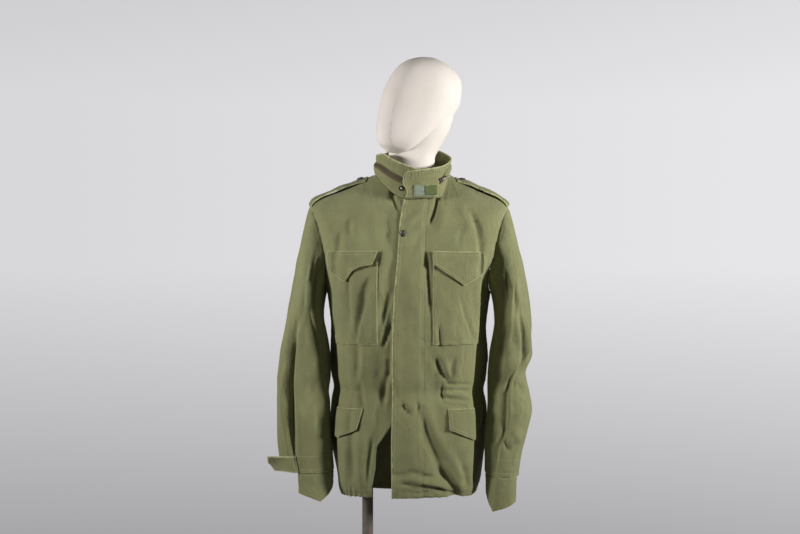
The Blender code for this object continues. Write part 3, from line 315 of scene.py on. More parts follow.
OLIVE, OLIVE_FADED = (0.178, 0.187, 0.084, 1), (0.227, 0.238, 0.110, 1)
OLIVE_BROWN, OLIVE_RUBBED = (0.226, 0.206, 0.094, 1), (0.455, 0.465, 0.240, 1)
BROWNED, SPECKLED, RUBBED = 0.30, 0.25, 0.95  # the most that these effects change the colour
THREAD_HEIGHT, SEAM_PUCKER_HEIGHT, SHELL_RELIEF = 0.00006, 0.0016, 0.8


def shell_cloth(name, rubbed, seed=0.0):
    """The shell's cloth; rubbed is how wide its pale edges are, in metres."""
    bloom = {"Sheen Weight": 0.12, "Sheen Roughness": 0.6, "Specular IOR Level": 0.25}
    material, tree, shader = new_material(name, 0.82, bloom)
    cloth_map = add(tree, "UVMap", uv_map="cloth").outputs["UV"]
    place = add(tree, "TexCoord").outputs["Object"]
    distance = add(tree, "Attribute", attribute_name="edge").outputs["Fac"]
    faded = add(tree, "Group", {"Place": place, "Seed": seed}, node_tree=fading).outputs
    from_edge = {"Place": place, "Distance": distance, "Width": rubbed}
    edge = add(tree, "Group", from_edge, node_tree=sewn_edge).outputs
    threads = add(tree, "Group", {"Cloth": cloth_map}, node_tree=weave).outputs["Height"]
    creased = add(tree, "Group", {"Place": place}, node_tree=creases).outputs["Height"]
    colour = mix_colour(tree, faded["Fade"], OLIVE, OLIVE_FADED)
    colour = mix_colour(tree, math_node(tree, "MULTIPLY", faded["Warmth"], BROWNED), colour, OLIVE_BROWN)
    colour = mix_colour(tree, between(tree, faded["Speckle"], 0.5, 0.9, 0, SPECKLED), colour, OLIVE_RUBBED)
    colour = mix_colour(tree, math_node(tree, "MULTIPLY", edge["Wear"], RUBBED), colour, OLIVE_RUBBED)
    tree.links.new(colour, shader.inputs["Base Color"])
    height = math_node(tree, "MULTIPLY", threads, THREAD_HEIGHT)
    height = math_node(tree, "ADD", height, math_node(tree, "MULTIPLY", edge["Pucker"], SEAM_PUCKER_HEIGHT))
    bumped(tree, shader, math_node(tree, "ADD", height, creased), SHELL_RELIEF)
    return material


EDGE_RUBBED, STRAP_RUBBED = 0.0010, 0.0036
panel_cloth = shell_cloth("panel_cloth", EDGE_RUBBED)
pocket_cloth = shell_cloth("pocket_cloth", EDGE_RUBBED, 0.9)
edge_cloth = shell_cloth("edge_cloth", STRAP_RUBBED, 1.7)
print("cloths:", [material.name for material in (panel_cloth, pocket_cloth, edge_cloth)])

# %% [markdown]
# ## The form of the garment
#
# A worn jacket is a few curved surfaces: the body, two sleeves and the collar. Each is given by a short
# table of rings, as a tailor would measure round it at each height, and a smooth curve runs between them.
# Everything that is sewn on takes its points from the same surface, a little further out, so that nothing
# floats or sinks in. The body's and sleeves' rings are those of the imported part, so the fine cloth stands
# where the plain one did, but for its deeper folds.

# %% Sizes, and short tables read by a smooth curve
WALL, DOUBLE_WALL, COLLAR_WALL = 0.0018, 0.0024, 0.0030
SEAM_GAP, LAYER_GAP = 0.0003, 0.0009
GARMENT_X, CENTRE_FRONT_X = 0.095, -0.009
ARMHOLE_FRONT, ARMHOLE_BACK, ARMHOLE_CORNER, ARMHOLE_LEVEL_GAP = 0.072, 0.070, 0.85, 0.003
CAP_SHARE, SLEEVE_CORNER = 0.16, 2.2


def table(columns, rows):
    """A short table as a dictionary of named columns."""
    return {name: np.array([row[i] for row in rows], float) for i, name in enumerate(columns.split())}


def ease(t):
    """A smooth step from 0 to 1."""
    t = np.clip(t, 0, 1)
    return t * t * (3 - 2 * t)


def band(value, middle, width):
    """1 at the middle, falling away smoothly over a width on either side."""
    return np.exp(-(((value - middle) / width) ** 2))


def power(value, corner):
    """A sine or cosine raised so that an ellipse becomes a rounded box; corner 2 leaves it an ellipse."""
    return np.sign(value) * np.abs(value) ** (2 / corner)


def smooth_columns(rings, key, at):
    """Reads every column of a table at places along its column `key`, by a curve that never overshoots."""
    knots = rings[key]
    steps = np.diff(knots)
    at = np.clip(at, knots[0], knots[-1])
    place = np.clip(np.searchsorted(knots, at, side="right") - 1, 0, len(steps) - 1)
    t = (at - knots[place]) / steps[place]
    read = {}
    for name, values in rings.items():
        rise = np.diff(values) / steps
        slope = np.concatenate([rise[:1], np.zeros(len(rise) - 1), rise[-1:]])
        same_way = rise[1:] * rise[:-1] > 0
        both = rise[1:][same_way] + rise[:-1][same_way]
        slope[1:-1][same_way] = 2 * rise[1:][same_way] * rise[:-1][same_way] / both
        low, high = values[place], values[place + 1]
        bend = t * (1 - t) ** 2 * slope[place] - t * t * (1 - t) * slope[place + 1]
        read[name] = low + (high - low) * ease(t) + steps[place] * bend
    return read


# %% [markdown]
# ## Folds
#
# The folds are placed one by one, each as one row of a table: where it starts and where it ends, both as a
# length across the cloth and a height, how far it bows to the side, how wide and how deep it is, and how
# far it leans. A leaning fold has one steep side, as where cloth is pressed over on itself. On top of them
# the whole cloth is a little uneven, which two layers of noise give.

# %% Folds and crumples
FOLD_SOFTEN = 0.25  # the share of a fold's length over which each of its ends fades
CRUMPLE_SOFT, CRUMPLE_SHARP = 0.0014, 0.0013


def metres(folds):
    """A table of folds, from millimetres to metres; the lean, which comes last, is a plain share."""
    return [[length / 1000 for length in row[:-1]] + [row[-1]] for row in folds]


def fold_lift(folds, across, height):
    """How far the folds lift (or sink) each point of a surface, given where the point lies on it."""
    lift = np.zeros_like(across)
    for across_0, height_0, across_1, height_1, bow, width, depth, lean in folds:
        run_a, run_h = across_1 - across_0, height_1 - height_0
        length = math.hypot(run_a, run_h)
        along = ((across - across_0) * run_a + (height - height_0) * run_h) / length**2
        off = ((across - across_0) * run_h - (height - height_0) * run_a) / length
        off = off - bow * np.sin(math.pi * np.clip(along, 0, 1))
        starts, ends = ease(0.5 + along / (2 * FOLD_SOFTEN)), ease(0.5 + (1 - along) / (2 * FOLD_SOFTEN))
        reach = width * np.where(off > 0, 1 + lean, 1 - lean)
        lift += depth * np.exp(-((off / reach) ** 2)) * starts * ends
    return lift


def crumple(points):
    """Uneven cloth: slow waves and a few sharper ones, both longer down the cloth than across it."""
    lift = np.empty(len(points))
    for i, (x, y, z) in enumerate(points):
        soft = noise.noise((x * 17, y * 17, z * 9))
        sharp = 0.25 - abs(noise.noise((x * 31 + 5, y * 31, z * 15)))
        lift[i] = CRUMPLE_SOFT * soft + CRUMPLE_SHARP * sharp
    return lift


# %% A surface that cloth can be laid on
class Surface:
    """A curved sheet known on a grid of points [row, column]; outward is 1 or -1, for its outer side."""

    def __init__(self, points, outward, closed):
        self.points = points
        if closed:
            wide = np.concatenate([points[:, -2:-1], points, points[:, 1:2]], axis=1)
            along = np.gradient(wide, axis=1)[:, 1:-1]
        else:
            along = np.gradient(points, axis=1)
        normals = np.cross(along, np.gradient(points, axis=0)) * outward
        self.normals = normals / np.linalg.norm(normals, axis=2, keepdims=True)

    def read(self, grid, row, column):
        row, column = np.broadcast_arrays(row, column)
        row = np.clip(row, 0, grid.shape[0] - 1.000001)
        column = np.clip(column, 0, grid.shape[1] - 1.000001)
        r, c = row.astype(int), column.astype(int)
        fr, fc = (row - r)[..., None], (column - c)[..., None]
        low = grid[r, c] * (1 - fc) + grid[r, c + 1] * fc
        high = grid[r + 1, c] * (1 - fc) + grid[r + 1, c + 1] * fc
        return low * (1 - fr) + high * fr

    def at(self, row, column, lift):
        """Points there, moved `lift` outwards from the smooth surface."""
        normal = self.read(self.normals, row, column)
        return self.read(self.points, row, column) + np.asarray(lift)[..., None] * normal


# %% The body
# Rings round the body, in superellipses of the given corner (2 is an ellipse).
# Level 0 is the hem, 1 the bottom of the armhole, 2 the shoulder's tip and 3 the neck seam.
BODY_RINGS = table(
    "level z_front z_side z_back half_width front back corner shift",
    [
        (0.00, 0.812, 0.806, 0.785, 0.158, 0.112, 0.122, 2.5, 0.000),
        (0.08, 0.840, 0.836, 0.826, 0.169, 0.122, 0.130, 2.5, 0.000),
        (0.30, 0.930, 0.928, 0.925, 0.176, 0.130, 0.134, 2.5, 0.000),
        (0.54, 1.040, 1.040, 1.040, 0.170, 0.124, 0.124, 2.5, 0.000),
        (0.80, 1.160, 1.160, 1.160, 0.178, 0.134, 0.130, 2.4, 0.000),
        (1.00, 1.262, 1.262, 1.262, 0.188, 0.138, 0.134, 2.4, 0.000),
        (1.50, 1.345, 1.362, 1.362, 0.212, 0.130, 0.128, 2.4, 0.000),
        (2.00, 1.404, 1.457, 1.440, 0.228, 0.108, 0.104, 2.3, 0.000),
        (2.50, 1.442, 1.500, 1.492, 0.156, 0.088, 0.080, 2.2, 0.003),
        (3.00, 1.470, 1.532, 1.528, 0.085, 0.074, 0.064, 2.1, 0.007),
    ],
)
# Millimetres from the centre front, towards the wearer's left, and above the floor.
BODY_FOLDS = [
    # the main folds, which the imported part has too
    (-52, 1110, -78, 900, 0, 20, -7, 0),
    (-30, 1150, -50, 1000, 0, 16, 4, 0),
    (66, 1120, 76, 880, 0, 20, -6.5, 0),
    (80, 920, 160, 840, 0, 18, -4.5, 0),
    (250, 1180, 240, 830, 0, 24, -6, 0),
    (-245, 1180, -235, 830, 0, 24, -6, 0),
    (338, 1410, 346, 1120, 0, 12, 5, 0),
    (-338, 1410, -346, 1120, 0, 12, 5, 0),
    (364, 1400, 372, 1100, 0, 14, -3.5, 0),
    (-364, 1400, -372, 1100, 0, 14, -3.5, 0),
    (330, 1060, 350, 830, 0, 24, -6, 0),
    (-330, 1080, -340, 830, 0, 24, -6, 0),
    (440, 1100, 420, 830, 0, 26, 5, 0),
    (-410, 1060, -430, 830, 0, 24, 5, 0),
    (490, 1080, 480, 850, 0, 22, -4.5, 0),
    (-480, 1050, 480, 1035, 0, 20, -5, 0),
    # where each side turns back from the front
    (204, 1310, 196, 1130, 0, 26, -20, -0.5),
    (192, 1120, 184, 835, 0, 30, -26, -0.5),
    (-197, 1140, -196, 835, 0, 25, -20, 0.5),
    (250, 1150, 246, 955, 0, 28, 17, 0),
    (-245, 1150, -243, 900, 0, 28, 18, 0),
    # the wearer's right chest
    (-43, 1500, -19, 1450, 2, 6, -6.8, 0.4),
    (-44, 1440, -36, 1370, -4, 13, -6, 0.3),
    (-95, 1450, -102, 1365, 4, 18, 4.3, 0),
    (-72, 1430, -66, 1370, 0, 10, 3.1, 0.3),
    (-128, 1430, -122, 1390, 3, 10, -3.4, 0),
    (-150, 1400, -158, 1300, 3, 9, -5.1, -0.3),
    (-40, 1350, -50, 1300, 0, 9, 3.8, 0.2),
    (-110, 1300, -113, 1175, -3, 12, 3.4, 0),
    (-72, 1290, -96, 1200, 4, 9, -3.8, 0.4),
    (-135, 1260, -130, 1170, 0, 12, -2.6, 0),
    (-54, 1300, -66, 1155, 3, 12, 7.7, 0.2),
    (-30, 1262, -53, 1200, 0, 8, -5, 0.3),
    (-31, 1215, -33, 1125, 0, 4.5, -5, 0.2),
    (-125, 1300, -123, 1200, 1, 5, -3.8, 0.5),
    (-87, 1247, -108, 1160, 2, 6, -4.8, 0.5),
    (-79, 1294, -92, 1250, 1, 5, -3.4, 0.4),
    (-33, 1190, -47, 1146, 0, 5, -8.5, 0.5),
    # the wearer's right, below the pocket
    (-34, 1118, -34, 1078, 0, 5, -8.5, 0.4),
    (-37, 1082, -47, 1022, 2, 6, -9.4, 0.5),
    (-108, 1145, -112, 1070, -3, 7, -5.1, 0.3),
    (-85, 1140, -92, 1090, 2, 8, 3.8, 0),
    (-102, 1065, -90, 1005, 3, 7, -4.4, 0.3),
    (-60, 1060, -78, 960, 2, 14, 6.8, 0.3),
    (-124, 1010, -118, 860, 4, 11, -5.1, 0),
    (-92, 955, -101, 845, 0, 12, 6, 0.3),
    (-140, 930, -142, 840, 0, 12, 4.3, 0),
    (-76, 935, -82, 850, 2, 6, -4.8, 0.3),
    (-150, 1050, -105, 1042, 1, 5, -3.8, 0.3),
    (-160, 1030, -120, 1026, -1, 4, -3.1, 0),
    # the wearer's left chest
    (71, 1478, 57, 1418, -2, 6, -8.5, 0.4),
    (84, 1450, 78, 1400, 0, 12, 3.8, 0),
    (130, 1455, 146, 1400, 3, 12, 3.8, 0),
    (152, 1435, 171, 1350, -4, 8, -6.8, -0.4),
    (48, 1344, 58.5, 1225, 1, 5, -6, 0.4),
    (74.5, 1190, 78, 1140, 0, 4, -5, 0.3),
    (120, 1252, 154, 1163, 3, 4, -2.7, -0.4),
    (104, 1240, 100, 1165, 2, 12, 2.6, 0),
    (150, 1290, 158, 1200, 0, 12, -3.1, 0),
    (128, 1405, 120, 1372, 1, 4.5, -3, 0.3),
    (176, 1360, 168, 1300, 2, 6, -4.5, 0.3),
    # the wearer's left, below the pocket
    (70.5, 1117, 100, 1066, 2, 4.8, -8.5, 0.4),
    (85, 1124, 98, 1080, 0, 6, 5.1, 0.4),
    (110, 1118, 104, 1074, 2, 5, -5.1, 0.3),
    (86, 1060, 91, 1018, 3, 4.2, -6.5, 0.4),
    (92, 1064, 145, 1060, 2, 4.2, -6, 0.3),
    (95, 1050, 150, 1045, -2, 4.2, -7, 0.3),
    (94, 1057, 146, 1052, 1, 4.5, 4, 0.2),
    (92, 1041, 142, 1036, -2, 4.5, 4, 0.2),
    (90, 1032, 148, 1025, 2, 4.2, -7, 0.3),
    (98, 1017, 142, 1013, 1, 4.2, -5, 0.2),
    (36, 1004, 83, 868, 6, 13, -8.2, 0.2),
    (56, 990, 100, 900, 4, 12, 6, 0),
    (78, 872, 122, 812, -3, 11, -12.8, 0.3),
    (102, 905, 140, 850, 3, 10, 6, 0),
    (130, 880, 150, 830, 0, 9, -6, 0.2),
    (-26, 865, 24, 873, 2, 4.2, -4.5, 0.3),
    (18, 872, 60, 860, 2, 4.5, -4.5, 0.3),
    (-6, 847, 85, 827, -2, 4.8, -7, 0.4),
    (10, 854, 82, 839, 0, 6, 4, 0),
    (70, 833, 116, 814, 2, 5, -8, 0.4),
    (-10, 829, 62, 826, 1, 4.2, -4.5, 0.2),
    # under the storm flap
    (34, 1440, 4, 1402, 3, 9, 3.8, 0.2),
    (36, 1400, 14, 1350, 2, 10, -3.1, 0),
    (12, 1330, 20, 1220, 3, 14, 3.1, 0),
    (-7, 1021, 12, 999, 1, 4.2, -7.5, 0.4),
    (18, 1006, 34, 1021, 1, 4.2, -3, 0.3),
    (26, 1030, 30, 1000, 0, 4, -4.3, 0.3),
    (6, 980, 12, 890, 2, 14, 3.1, 0),
    (-20, 1150, -16, 1060, 1, 10, 2.4, 0),
    # the back and the sides
    (300, 1380, 322, 1250, 4, 10, -3.5, 0.3),
    (-304, 1370, -318, 1260, -4, 10, -3.5, -0.3),
    (400, 1420, 480, 1360, 4, 12, -2.2, 0),
    (-420, 1420, -500, 1375, 4, 12, -2.2, 0),
    (410, 1200, 440, 1080, 6, 14, -3.5, 0.2),
    (-400, 1190, -450, 1070, 6, 14, -3.5, 0.2),
    (520, 1180, 500, 1060, 4, 16, 3, 0),
    (-520, 1150, -530, 1060, 0, 14, 3, 0),
    (360, 1060, 470, 1052, 3, 5, -2.8, 0.3),
    (-380, 1054, -500, 1060, 3, 5, -2.8, 0.3),
    (300, 1020, 420, 1014, -2, 5, -2.6, 0.3),
    (-290, 1026, -430, 1014, 2, 5, -2.6, 0.3),
    (390, 1000, 400, 850, 6, 14, -4, 0.2),
    (-385, 1000, -378, 860, 6, 14, -4, 0.2),
    (530, 990, 520, 860, 4, 13, -3.5, 0.2),
    (-500, 990, -520, 850, 4, 13, 3.5, 0.2),
    (290, 960, 300, 850, 3, 10, 3, 0),
    (-280, 970, -290, 850, 3, 10, 3, 0),
    (205, 1150, 200, 1060, 3, 8, -3, 0.2),
    (-205, 1140, -200, 1060, 3, 8, -3, 0.2),
    (200, 1010, 205, 880, 3, 9, 3, 0.2),
    (-190, 1000, -195, 860, 3, 9, -3, 0.2),
]


def ring_height(ring, cosine):
    """The height round a ring that has its own at the front, the sides and the back."""
    in_front, behind = np.maximum(cosine, 0) ** 2, np.minimum(cosine, 0) ** 2
    return (
        ring["z_side"]
        + (ring["z_front"] - ring["z_side"]) * in_front
        + (ring["z_back"] - ring["z_side"]) * behind
    )


NECK_LEVEL = 3


class Body(Surface):
    """The torso, as rings by level, each measured by the length along the cloth from the centre front."""

    ROWS, COLUMNS = 151, 321

    def __init__(self):
        self.folds = metres(BODY_FOLDS)
        self.levels = np.linspace(0, NECK_LEVEL, self.ROWS)
        rings = smooth_columns(BODY_RINGS, "level", self.levels)
        angles = np.radians(np.linspace(-180, 180, 1441))
        sine, cosine = np.sin(angles), np.cos(angles)
        points = np.empty((self.ROWS, self.COLUMNS, 3))
        self.girth, self.side = np.empty((self.ROWS, 2)), np.empty((self.ROWS, 2))
        share = np.linspace(-1, 1, self.COLUMNS)
        for i in range(self.ROWS):
            ring = {name: values[i] for name, values in rings.items()}
            depth = np.where(cosine > 0, ring["front"], ring["back"])
            x = ring["half_width"] * power(sine, ring["corner"])
            curve = np.stack([x, -depth * power(cosine, ring["corner"]), ring_height(ring, cosine)], axis=1)
            length = np.concatenate([[0], np.cumsum(np.linalg.norm(np.diff(curve, axis=0), axis=1))])
            in_front = cosine > 0.2
            length -= np.interp(CENTRE_FRONT_X, x[in_front], length[in_front])
            self.girth[i] = -length[0], length[-1]
            right_side, left_side = np.interp([-90, 90], np.degrees(angles), length)
            self.side[i] = -right_side, left_side
            across = np.where(share < 0, share * self.girth[i, 0], share * self.girth[i, 1])
            for axis in range(3):
                points[i, :, axis] = np.interp(across, length, curve[:, axis])
            points[i, :, 0] += ring["shift"] + GARMENT_X
        super().__init__(points, outward=1, closed=True)
        self.front_heights = rings["z_front"]

    def front_height(self, level):
        return np.interp(level, self.levels, self.front_heights)

    def level_at(self, height):
        """The level of the ring whose front lies at that height."""
        return np.interp(height, self.front_heights, self.levels)

    def at_level(self, columns, level, side):
        """A measure of the rings at that level, on side -1 (right) or 1 (left)."""
        return np.where(
            np.asarray(side) < 0,
            np.interp(level, self.levels, columns[:, 0]),
            np.interp(level, self.levels, columns[:, 1]),
        )

    def side_line(self, level, side):
        """The length from the centre front to the side line."""
        return side * self.at_level(self.side, level, side)

    def centre_back(self, level, side):
        return side * self.at_level(self.girth, level, side)

    def grid_place(self, across, level):
        """The row and column of a place on the body."""
        column = (across / self.at_level(self.girth, level, across) + 1) / 2 * (self.COLUMNS - 1)
        return level / NECK_LEVEL * (self.ROWS - 1), column

    def on(self, across, level, lift=0.0):
        """Points on the folded cloth, by the length from the centre front and the level."""
        across, level = np.broadcast_arrays(np.asarray(across, float), np.asarray(level, float))
        row, column = self.grid_place(across, level)
        smooth = self.read(self.points, row, column)
        folded = fold_lift(self.folds, across, smooth[..., 2])
        folded += crumple(smooth.reshape(-1, 3)).reshape(across.shape)
        return self.at(row, column, lift + folded)

    def normal(self, across, level):
        return self.read(self.normals, *self.grid_place(across, level))


body = Body()
print("girth at the hem and at the chest:", rounded(body.girth[[0, 50]].sum(axis=1)), "m")

# %% The sleeves
# Rings down each sleeve: its outer and inner edge seen from the front, half its depth, and how far it swings.
# The last ring but one is the cuff; the one below it is only for the hand guard, which hangs out of the cuff.
SLEEVE_COLUMNS = "outer_x outer_z inner_x inner_z half_depth centre_y"
SLEEVE_RINGS = {
    "left": table(
        SLEEVE_COLUMNS,
        [
            (0.228, 1.455, 0.196, 1.258, 0.072, 0.000),
            (0.240, 1.438, 0.198, 1.240, 0.080, -0.001),
            (0.248, 1.385, 0.198, 1.215, 0.083, -0.003),
            (0.260, 1.320, 0.196, 1.180, 0.082, -0.005),
            (0.272, 1.245, 0.193, 1.140, 0.079, -0.008),
            (0.281, 1.175, 0.190, 1.105, 0.075, -0.012),
            (0.282, 1.125, 0.188, 1.075, 0.072, -0.015),
            (0.266, 1.080, 0.188, 1.048, 0.069, -0.018),
            (0.274, 1.035, 0.188, 1.015, 0.068, -0.022),
            (0.279, 1.000, 0.186, 0.985, 0.067, -0.026),
            (0.268, 0.950, 0.181, 0.945, 0.064, -0.031),
            (0.255, 0.900, 0.177, 0.900, 0.059, -0.036),
            (0.248, 0.852, 0.174, 0.856, 0.055, -0.040),
            (0.242, 0.750, 0.171, 0.758, 0.053, -0.048),
        ],
    ),
    "right": table(
        SLEEVE_COLUMNS,
        [
            (0.228, 1.455, 0.196, 1.258, 0.072, 0.000),
            (0.239, 1.438, 0.198, 1.240, 0.080, -0.001),
            (0.247, 1.385, 0.198, 1.215, 0.083, -0.003),
            (0.257, 1.320, 0.195, 1.180, 0.082, -0.005),
            (0.270, 1.245, 0.191, 1.140, 0.079, -0.008),
            (0.285, 1.175, 0.188, 1.105, 0.075, -0.012),
            (0.295, 1.120, 0.188, 1.070, 0.073, -0.015),
            (0.300, 1.060, 0.189, 1.030, 0.071, -0.019),
            (0.300, 1.000, 0.188, 0.985, 0.068, -0.024),
            (0.299, 0.940, 0.184, 0.940, 0.064, -0.029),
            (0.294, 0.895, 0.178, 0.895, 0.058, -0.034),
            (0.286, 0.862, 0.174, 0.862, 0.054, -0.037),
            (0.278, 0.762, 0.171, 0.762, 0.052, -0.044),
        ],
    ),
}
# Millimetres round the sleeve from the middle of its front, outwards, and above the floor.
SLEEVE_FOLDS = {
    "left": [
        (-30, 1300, 60, 1150, 0, 18, -5, 0),
        (-20, 1200, 40, 1060, 0, 16, -7, 0),
        (90, 1130, 0, 1060, 0, 14, -8, 0),
        (-40, 1090, 50, 1020, 0, 14, -6, 0),
        (50, 1010, -20, 940, 0, 15, -6, 0),
        (-180, 1120, -110, 1060, 0, 16, -6, 0),
        (-150, 1240, -120, 1060, 0, 18, -5, 0),
        # the inner side, which hangs against the body
        (-88, 1260, -76, 880, 0, 36, 10, 0),
        # the cap
        (-24, 1440, -18, 1360, 8, 7, -6.8, 0.3),
        (-50, 1400, -48, 1320, 4, 8, 4.1, 0.3),
        (12, 1410, 20, 1340, 3, 12, 3, 0),
        # above the elbow
        (-4, 1306, -28, 1258, 2, 6, -4.3, 0.4),
        (-28, 1300, -46, 1225, 3, 7, -4.1, 0.3),
        (12, 1270, -12, 1180, 3, 10, 4.1, 0.3),
        (-36, 1230, -44, 1060, 4, 9, -5.4, -0.3),
        (30, 1260, 34, 1190, 2, 10, 3, 0),
        # the elbow
        (30, 1190, 36, 1090, 4, 6, -8.8, 0.5),
        (48, 1170, 46, 1100, 0, 9, 6.1, 0.3),
        (-3, 1072, -16, 950, 9, 5.5, -8.8, 0.4),
        (6, 1078, -8, 985, 5, 7, 4.5, 0.3),
        (20, 1050, 46, 1040, 2, 4, -4.1, 0.3),
        (14, 1022, 40, 1010, 2, 4, -3.5, 0.2),
        (0, 990, 22, 1000, 2, 5, 3, 0),
        (-12, 942, 4, 914, 1, 4, -6.5, 0.4),
        (4, 960, 30, 930, 2, 8, 3.5, 0),
        # the forearm
        (-18, 960, -24, 862, 2, 7, -4.6, 0.4),
        (20, 930, 14, 880, 2, 9, -2.7, 0),
        (-40, 980, -36, 900, 0, 10, 3.2, 0),
        # the back of the sleeve
        (-170, 1050, -110, 1000, 4, 12, -4, 0.2),
        (-160, 1000, -130, 930, 3, 12, 3, 0),
        (-200, 1300, -170, 1180, 4, 14, -3.5, 0),
        (100, 1280, 110, 1160, 4, 14, 3, 0),
        (110, 1080, 130, 980, 3, 12, -3.5, 0.2),
    ],
    "right": [
        (32, 1150, 16, 945, 0, 12, -9.5, 0),
        (62, 1200, 40, 960, 0, 18, 4, 0),
        (-30, 1300, 10, 1120, 0, 18, -5, 0),
        (-40, 1080, 0, 1010, 0, 16, -5, 0),
        (-150, 1130, -90, 1050, 0, 16, -6, 0),
        (-170, 1060, -110, 980, 0, 16, -5, 0),
        # the inner side, which hangs against the body
        (-90, 1270, -72, 880, 0, 36, 12, 0),
        # the cap
        (-30, 1430, -26, 1340, 6, 7, -5.9, -0.3),
        (0, 1400, -6, 1330, 3, 12, 2.9, 0),
        # above the elbow
        (-7, 1344, -36, 1262, 3, 6, -4.4, 0.4),
        (20, 1320, 0, 1240, 3, 10, 3.4, 0.2),
        (-22, 1225, -42, 1155, 2, 7, -4.2, 0.3),
        (16, 1240, 28, 1160, 3, 8, -3.1, 0.2),
        (-10, 1180, -30, 1100, 3, 10, 3.6, 0),
        # the deep fold down the forearm
        (31, 1150, 21, 890, 3, 6, -11.7, 0.6),
        (18, 1130, 8, 950, 2, 9, 3.9, 0.3),
        (50, 1100, 66, 1030, 3, 8, -5.2, 0.3),
        (44, 1050, 50, 960, 2, 7, 3.1, 0),
        # the forearm
        (-30, 1060, -44, 960, 3, 10, -3.1, 0.2),
        (-8, 1010, -16, 930, 2, 12, 2.3, 0),
        (36, 960, 34, 890, 1, 4, -3.4, 0.2),
        (46, 950, 45, 888, 1, 4, -3.1, 0),
        (55, 955, 54, 886, -1, 4, -2.9, 0.2),
        (64, 945, 64, 888, 1, 4, -2.6, 0),
        # the back of the sleeve
        (-180, 1250, -150, 1150, 4, 14, -3.5, 0),
        (100, 1280, 110, 1160, 4, 14, 3, 0),
        (110, 1100, 130, 990, 3, 12, -3.5, 0.2),
    ],
}


SIDES = {"left": 1, "right": -1}  # the wearer's
SLEEVE_FOLDS_FROM = 0.05  # the share of its length over which a sleeve's folds start


class Sleeve(Surface):
    """A sleeve, as rings from the armhole down. Column 0 is its outer side, and its front comes next."""

    ROWS, COLUMNS = 181, 193

    def __init__(self, name):
        self.side, self.folds = SIDES[name], metres(SLEEVE_FOLDS[name])
        rings = SLEEVE_RINGS[name]
        middle_x = (rings["outer_x"] + rings["inner_x"]) / 2
        middle_z = (rings["outer_z"] + rings["inner_z"]) / 2
        far = np.concatenate([[0], np.cumsum(np.hypot(np.diff(middle_x), np.diff(middle_z)))])
        self.length = far[-1]
        self.cuff = far[-2] / far[-1]
        rings = smooth_columns({"far": far, **rings}, "far", np.linspace(0, far[-1], self.ROWS))
        ring = {key: values[:, None] for key, values in rings.items()}
        angles = np.radians(np.linspace(0, 360, self.COLUMNS))[None, :]
        across, along = power(np.cos(angles), SLEEVE_CORNER), power(np.sin(angles), SLEEVE_CORNER)
        x = (ring["outer_x"] + ring["inner_x"]) / 2 + across * (ring["outer_x"] - ring["inner_x"]) / 2
        z = (ring["outer_z"] + ring["inner_z"]) / 2 + across * (ring["outer_z"] - ring["inner_z"]) / 2
        y = ring["centre_y"] - along * ring["half_depth"]
        points = np.stack([x * self.side + GARMENT_X, y, z], axis=2)
        armhole = self.armhole(angles[0])
        turned = ease(np.linspace(0, 1 / CAP_SHARE, self.ROWS))[:, None, None]
        super().__init__(body.on(*armhole) * (1 - turned) + points * turned, self.side, closed=True)
        quarter = (self.COLUMNS - 1) // 4
        steps = np.diff(self.points, axis=1, prepend=self.points[:, :1])
        arc = np.cumsum(np.linalg.norm(steps, axis=2), axis=1)
        self.outwards = (arc[:, quarter : quarter + 1] - arc)[..., None]
        self.around = arc[:, -1:, None]
        # Where the sleeve carries on from the body, its wall faces as the body's does, so they meet edge on.
        edge_normals = body.normal(*armhole)
        same_way = (edge_normals * self.normals[0]).sum(axis=1)
        share = (1 - turned) * ease(2 * same_way - 0.4)[None, :, None]
        normals = edge_normals * share + self.normals * (1 - share)
        self.normals = normals / np.linalg.norm(normals, axis=2, keepdims=True)

    def armhole(self, angle):
        """Places just inside the armhole's edge; angle 0 is the shoulder's tip and pi the underarm."""
        level = 1.5 + (0.5 - ARMHOLE_LEVEL_GAP) * np.cos(angle)
        forwards = np.sin(angle)
        depth = np.where(forwards > 0, ARMHOLE_FRONT, ARMHOLE_BACK)
        bite = depth * np.abs(forwards) ** ARMHOLE_CORNER - SEAM_GAP * np.abs(forwards)
        return body.side_line(level, self.side) - self.side * np.sign(forwards) * bite, level

    def on(self, share_down, angle, lift=0.0):
        """Points on the folded sleeve, by the share of its length from the armhole and the angle round it."""
        share_down, angle = np.broadcast_arrays(np.asarray(share_down, float), np.asarray(angle, float))
        row, column = share_down * (self.ROWS - 1), angle / 360 * (self.COLUMNS - 1)
        smooth = self.read(self.points, row, column)
        outwards = self.read(self.outwards, row, column)[..., 0]
        around = np.interp(row, np.arange(self.ROWS), self.around[:, 0, 0])
        height = np.interp(row, np.arange(self.ROWS), self.points[..., 2].mean(axis=1))
        folded = fold_lift(self.folds, outwards, height) + fold_lift(self.folds, outwards + around, height)
        folded += crumple(smooth.reshape(-1, 3)).reshape(row.shape)
        return self.at(row, column, lift + folded * ease(share_down / SLEEVE_FOLDS_FROM))


sleeves = {name: Sleeve(name) for name in SIDES}
print("the left and right sleeve:", rounded(sleeve.length * sleeve.cuff for sleeve in sleeves.values()), "m")

